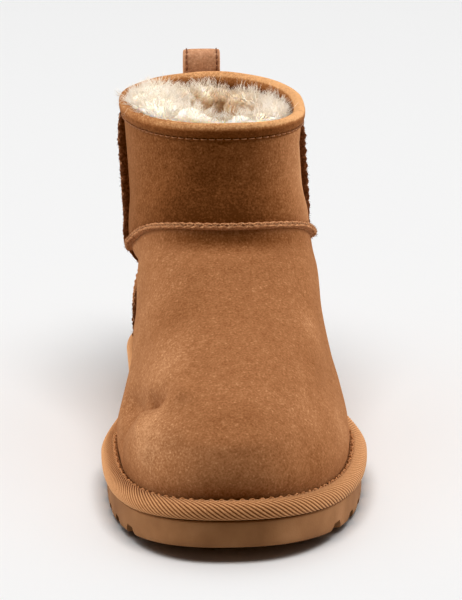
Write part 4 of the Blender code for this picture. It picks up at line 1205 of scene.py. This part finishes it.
# Section: share of the half width, share of the height, from foot to foot over both edges.
SEAM_SECTION = (
    (-0.95, -0.25), (-0.97, 0.10), (-0.99, 0.42), (-1.02, 0.70), (-0.96, 0.90), (-0.76, 1.01),
    (-0.50, 1.03), (-0.26, 0.98), (-0.10, 0.90), (0.0, 0.82), (0.10, 0.90), (0.26, 0.98),
    (0.50, 1.03), (0.76, 1.01), (0.96, 0.90), (1.02, 0.70), (0.99, 0.42), (0.97, 0.10),
    (0.95, -0.25), (0.45, -0.25), (-0.45, -0.25))
OVERCAST_PITCH, OVERCAST_THREAD, OVERCAST_RISE = 1.7, 0.36, 0.93
LINT_LENGTH, LINT_THICKNESS, LINT_CURL, LINT_LOCK = 0.8, 0.12, 0.6, 0.8


def cut_edge(name, dark, middle, light):
    """Cut edge of suede: split fibres, darker than the face and uneven."""
    made, tree, shader = new_material(name, Roughness=0.97, Specular_IOR_Level=0.08)
    where = add_node(tree, "ShaderNodeTexCoord").outputs["Object"]
    # Bundles of fibre are about 1.1 mm across, and fray into finer ones.
    fibre = add_node(tree, NOISE,
                     {"Vector": where, "Scale": 900.0, "Detail": 3.0, "Roughness": 0.7})
    tones = add_node(tree, RAMP, {"Fac": fibre})
    set_stops(tones, (0.30, dark), (0.52, middle), (0.74, light))
    feed(shader, tones, fibre, 0.6, 0.0005)
    return made


def tube(name, grid, surface, sharp=None, values=None):
    """Mesh object from rings of points, one after another, with a face over each end."""
    count, around = grid.shape[:2]
    ends = [tuple(range(around)), tuple(range((count - 1) * around, count * around))]
    faces = list(strips(count, around, close_rows=False)) + ends
    return piece(name, grid, faces, surface, sharp, values)


def standing_seam(name, turn, level, half_width, height, taper_off, surface):
    """Ridge of two cut edges along a route on the upper, tapered off at its ends; gives the
    object, and the line of its crest with the directions out of the upper."""
    places, outward = skin(turn, level), last_normals(turn, level)
    sideways = unit(np.cross(unit(np.gradient(places, axis=0)), outward))
    run = running_length(places)
    taper = np.clip(np.minimum(run, run[-1] - run) / taper_off, 0.03, 1) ** 0.8
    pull = 2 * math.pi * run / OVERCAST_PITCH
    rows = []
    for share, rise in SEAM_SECTION:
        loose = max(0.0, rise)
        uneven = (0.10 * np.sin(pull / 2 + 1.3 * np.sign(share))
                  + 0.06 * np.sin(pull * 0.27 + share) + 0.05 * np.sin(run * 1.9 + 2 * share))
        wide = share * half_width * (0.35 + 0.65 * taper) + 0.12 * loose * np.sin(pull / 2)
        tall = (rise * taper + loose * uneven * 0.6) * height
        rows.append(places + sideways * wide[:, None] + outward * tall[:, None])
    on_crest = np.tile([rise > 0.6 for _, rise in SEAM_SECTION], len(places))
    made = tube(name, np.stack(rows, 1), surface,
                values={"cover": on_crest, "tall": np.ones(len(on_crest))})
    return made, places + outward * (OVERCAST_RISE * height * taper)[:, None], outward


def finish_seam(name, crest, outward, made, length, swing, lint_density, lean, seed, lint):
    """The zigzag thread over a standing seam, and the lint that stands on its cut edges."""
    place(sew(name + "_thread", crest, outward, OVERCAST_PITCH, length, OVERCAST_THREAD,
              overcast_thread, swing=swing), "cut_edge_suede")
    place(pile_on(name + "_lint", made, 1.0, lint_density, LINT_LENGTH, LINT_THICKNESS, LINT_CURL,
                  LINT_LOCK, lean, seed, lint), "cut_edge_suede")


# Cut edges of the side seams: partly their own darker colour, partly painted shade.
raw_edge = cut_edge("cut_edge_suede", "#4a2c1b", "#67422c", "#86583b")
overcast_thread = sewing_thread("polyester_thread_sand", "#a57c59")
level = level_of(np.linspace(RIM_HEIGHT - SEAM_BELOW_RIM, SEAM_ABOVE_WELT, SIDE_SEAM_STEPS))
for side_name, side in (("outer", 1), ("inner", -1)):
    name = f"side_seam_{side_name}"
    made, crest, outward = standing_seam(
        name + "_suede", turn_at(level, side_seam_along(level), side), level, SEAM_HALF_WIDTH,
        SEAM_HEIGHT[side_name], SEAM_TAPER, raw_edge)
    place(made, "cut_edge_suede", name + "_shaft", name + "_foot")
    finish_seam(name, crest, outward, made, 2.9, 55.0, 1.2, 0.0, 31, raw_edge)


# ============================================================
# 8. Instep seam. The same kind of standing seam joins shaft to vamp over the instep; its
#    ends run on over the side seams and are cut round.
# ============================================================

INSTEP_SEAM_PAST = 2.6         # how far it runs on past the side seams
INSTEP_HALF_WIDTH, INSTEP_SEAM_RISE, INSTEP_TAPER = 1.15, 2.8, 1.8
INSTEP_STEPS = 420

seam_ends = []
for side, (fall, _) in INSTEP_SEAM_ENDS.items():
    end_level = level_of(INSTEP_SEAM_HEIGHT - fall)
    end_turn = turn_at(end_level, side_seam_along(end_level) - INSTEP_SEAM_PAST, side)
    seam_ends.append(float(end_turn) % (2 * math.pi))
turn = np.linspace(*seam_ends, INSTEP_STEPS)
# The instep seam's cut edges: much paler than the side seams', with painted light from above.
instep_edge = cut_edge("cut_edge_suede_painted_lit", "#96684a", "#bb8c67", "#dab18a")
fuzz = cut_edge("suede_lint", "#6e4730", "#8f6444", "#b0835f")
made, crest, outward = standing_seam(
    "instep_seam_suede", turn, level_of(instep_seam_height(turn)), INSTEP_HALF_WIDTH,
    INSTEP_SEAM_RISE, INSTEP_TAPER, instep_edge)
place(made, "cut_edge_suede", "instep_seam")
finish_seam("instep_seam", crest, outward, made, 2.3, 38.0, 1.6, 0.3, 33, fuzz)


# ============================================================
# 9. Heel counter. A suede patch over the heel, arched at the top, with its stiffener under
#    it and two rows of stitches along its edge.
# ============================================================

COUNTER_FRONT, COUNTER_FOOT = 64.0, 1.0  # its front from the heel end, its foot over the welt
COUNTER_END, COUNTER_BACK = 4.0, 46.0    # height of its edge at the ends and at the back
COUNTER_ARCH = 1.8
COUNTER_THICKNESS, COUNTER_EDGE = 1.25, 1.1
COUNTER_COLUMNS, COUNTER_ROWS = 220, 48
COUNTER_REACH = float(turn_at(0.0, COUNTER_FRONT, 1))
COUNTER_SEWN_FROM = 2.5        # the rows of stitches start this far over the welt


def counter_top(share):
    """Height of the patch's edge above the feather line, from one end to the other."""
    return COUNTER_END + (COUNTER_BACK - COUNTER_END) * rounded(share**2, COUNTER_ARCH)


def build_counter(surface):
    """The patch, its edge rounded over by thinning toward its border."""
    share = np.sin(np.linspace(-math.pi / 2, math.pi / 2, COUNTER_COLUMNS))[None, :]
    up = 1 - (1 - np.linspace(0, 1, COUNTER_ROWS)[:, None]) ** 1.5
    top = counter_top(share)
    height = COUNTER_FOOT + (top - COUNTER_FOOT) * up
    from_edge = np.minimum(top - height, (1 - np.abs(share)) * COUNTER_FRONT)
    inside = np.clip(from_edge / COUNTER_EDGE, 0, 1)
    thick = COUNTER_THICKNESS * (0.25 + 0.75 * np.sqrt(1 - (1 - inside) ** 2))
    near, far = (skin(COUNTER_REACH * share, level_of(height), outset) for outset in (0.05, thick))
    grid = np.concatenate([near, far[:, ::-1]], axis=1)
    rows, around = grid.shape[:2]
    faces = list(strips(rows, around, close_rows=False))
    for start in (0, (rows - 1) * around):
        end = start + around - 1
        faces += [(start + k, start + k + 1, end - k - 1, end - k)
                  for k in range(COUNTER_COLUMNS - 1)]
    return piece("heel_counter_suede", grid, faces, surface, sharp=50)


place(build_counter(chestnut), "counter_suede", "heel_counter")
for row_name, inset in (("edge", 2.0), ("inner", 4.6)):
    share = np.linspace(-1, 1, 400)
    height = counter_top(share) - inset
    share, height = share[height > COUNTER_SEWN_FROM], height[height > COUNTER_SEWN_FROM]
    line = skin(COUNTER_REACH * (share * (1 - inset / COUNTER_FRONT)), level_of(height),
                COUNTER_THICKNESS - 0.1)
    place(sew(f"heel_counter_stitches_{row_name}", line,
              last_normals(share * COUNTER_REACH, level_of(height)), 3.2, 2.5, 0.6, tan_thread),
          "counter_suede")


# ============================================================
# 10. Pull loop. A suede strap doubled over and sewn to the back of the collar, to pull the
#     boot on by; stitched along both edges on both of its faces.
# ============================================================

LOOP_WIDTH, LOOP_THICKNESS = 16.0, 1.6
LOOP_STEPS = 200
# The strap's middle line, as outset from the upper and rise above the rim.
LOOP_LINE = (
    (1.15, -23.0), (1.15, -18.0), (1.25, -14.0), (2.3, -10.5), (2.75, -7.0), (2.75, -2.0),
    (2.7, 2.0), (2.75, 5.5), (3.6, 8.2), (5.2, 9.5), (6.8, 9.5), (8.5, 8.1), (9.6, 5.5),
    (10.2, 1.5), (9.9, -2.5), (8.2, -7.0), (5.6, -11.0), (3.4, -14.2), (2.85, -18.0), (2.8, -23.0))
# A quarter of the strap's section: share of the half width, share of the half thickness.
STRAP_EDGE = [(0.0, 1.0), (0.25, 1.0), (0.5, 1.0), (0.68, 0.98), (0.76, 0.84), (0.82, 0.80),
              (0.88, 0.9), (0.94, 0.86), (0.98, 0.55), (1.0, 0.0)]
LOOP_SEWN = 6.5                # the rows of stitches, from the strap's middle


def chaikin(line, rounds=3):
    """Open line with its corners cut, ends kept."""
    line = np.array(line, float)
    for _ in range(rounds):
        near, far = line[:-1] * 0.75 + line[1:] * 0.25, line[:-1] * 0.25 + line[1:] * 0.75
        line = np.vstack([line[:1], np.stack([near, far], 1).reshape(-1, 2), line[-1:]])
    return line


def back_fall(sideways):
    """How far the back of the collar falls away, this far from its middle."""
    spots = last(np.linspace(0, 0.6, 60), 0.9)
    return np.interp(abs(sideways), np.abs(spots[:, 0] - spots[0, 0]), spots[0, 1] - spots[:, 1])


def loop_points(sideways, off):
    """Points off the strap's middle line, by distance sideways and out of its face."""
    step = unit(np.gradient(STRAP_LINE, axis=0))
    outset, rise = (STRAP_LINE + np.stack([-step[:, 1], step[:, 0]], -1) * off).T
    points = skin(0.0, level_of(RIM_HEIGHT + np.minimum(rise, 0.0)), outset)
    points[:, 2] += np.maximum(rise, 0.0)
    return points + (sideways, -back_fall(sideways), 0.0)


def build_loop(surface):
    """The strap round its loop."""
    section = STRAP_EDGE + [(w, -t) for w, t in STRAP_EDGE[-2::-1]]
    section += [(-w, t) for w, t in section[-2:0:-1]]
    columns = [loop_points(w * LOOP_WIDTH / 2, t * LOOP_THICKNESS / 2) for w, t in section]
    return tube("pull_loop_suede", np.stack(columns, 1), surface, sharp=60)


STRAP_LINE = smooth_loop(chaikin(LOOP_LINE), LOOP_STEPS)
strap_suede = suede("strap_suede", "#7d573d", "#956c50", "#b58a6c", "#d3ac8f")
place(build_loop(strap_suede), "strap_suede", "pull_loop")
brown_thread = sewing_thread("polyester_thread_brown", "#6b4126")
for side_name, side in (("outer", 1), ("inner", -1)):
    for face_name, face in (("out", 1), ("in", -1)):
        line, above = (loop_points(side * LOOP_SEWN, face * LOOP_THICKNESS * share)
                       for share in (0.42, 0.9))
        place(sew(f"pull_loop_stitches_{side_name}_{face_name}", line, above - line, 2.6, 2.0, 0.5,
                  brown_thread), "strap_suede")


# ============================================================
# Stage: pale paper under the boot, soft studio light, and the camera.
# ============================================================

FLOOR = 8.0                    # half of its side, metres
# Two lamps light the paper only, so that it stays even, and the others shape the boot only:
# what a lamp lights, its name, place, target, width, depth and power.
LAMPS = (
    ("boot", "overhead", (0.1, 0.12, 2.4), (0.0, 0.03, 0.0), 3.2, 2.4, 48),
    ("paper", "paper, soft", (0.0, 0.5, 2.2), (0.0, 0.5, 0.0), 5.0, 4.0, 39),
    ("paper", "paper, from the front", (0.0, -1.8, 5.0), (0.0, 12.0, 0.0), 3.2, 3.2, 298),
    ("boot", "front", (0.0, -1.6, 0.25), (0.0, 0.0, 0.05), 1.4, 0.4, 1.6),
    ("boot", "right", (1.3, -0.05, 0.75), (0.0, 0.0, 0.07), 1.0, 1.2, 25),
    ("boot", "left", (-1.3, -0.12, 0.75), (0.0, 0.0, 0.07), 1.0, 1.2, 23))
# The view is 3 degrees round to the inner side and 560 mm up, 1.63 m from the boot's middle.
VIEW_TURN, VIEW_RUN, VIEW_HEIGHT = math.radians(-3.0), 1.631, 0.560
AIM = (0.0007, 0.0, 0.069)


def put(made, spot, target):
    """Place a lamp or the camera at a spot, facing a target."""
    made.location = spot
    made.rotation_euler = (Vector(target) - Vector(spot)).to_track_quat("-Z", "Y").to_euler()


# Matt paper, a neutral pale grey: it takes the contact shadow and gives no shine.
paint = new_material("matt_white_paper", Base_Color=hex_colour("#ececec"), Roughness=1.0,
                     Specular_IOR_Level=0.0)[0]
floor_mesh = bpy.data.meshes.new("floor")
corners = [(x * FLOOR, y * FLOOR, 0) for x, y in ((-1, -1), (1, -1), (1, 1), (-1, 1))]
floor_mesh.from_pydata(corners, [], [(0, 1, 2, 3)])
floor_mesh.materials.append(paint)
floor = new_object("floor", floor_mesh)

scene = bpy.context.scene
only = {lit: bpy.data.collections.new(lit + " only") for lit in ("boot", "paper")}
for made in scene.objects:
    if made.type == "MESH":
        only["paper" if made is floor else "boot"].objects.link(made)
for lit, name, spot, target, width, depth, power in LAMPS:
    lamp = bpy.data.lights.new(name, "AREA")
    lamp.shape, lamp.size, lamp.size_y, lamp.energy = "RECTANGLE", width, depth, power
    made = new_object(name, lamp)
    made.light_linking.receiver_collection = only[lit]
    put(made, spot, target)

scene.world = bpy.data.worlds.new("studio")
scene.world.use_nodes = True
background = scene.world.node_tree.nodes["Background"].inputs
background["Color"].default_value, background["Strength"].default_value = (1, 1, 1, 1), 0.14

lens = bpy.data.cameras.new("camera")
lens.sensor_width, lens.lens, lens.clip_end = 36.0, 246.0, 50.0
scene.camera = new_object("camera", lens)
put(scene.camera,
    (math.sin(VIEW_TURN) * VIEW_RUN, -math.cos(VIEW_TURN) * VIEW_RUN, VIEW_HEIGHT), AIM)
view = scene.view_settings
view.view_transform, view.gamma, view.use_curve_mapping = "Standard", 0.82, True
view.curve_mapping.black_level = (0.009, 0.009, 0.009)
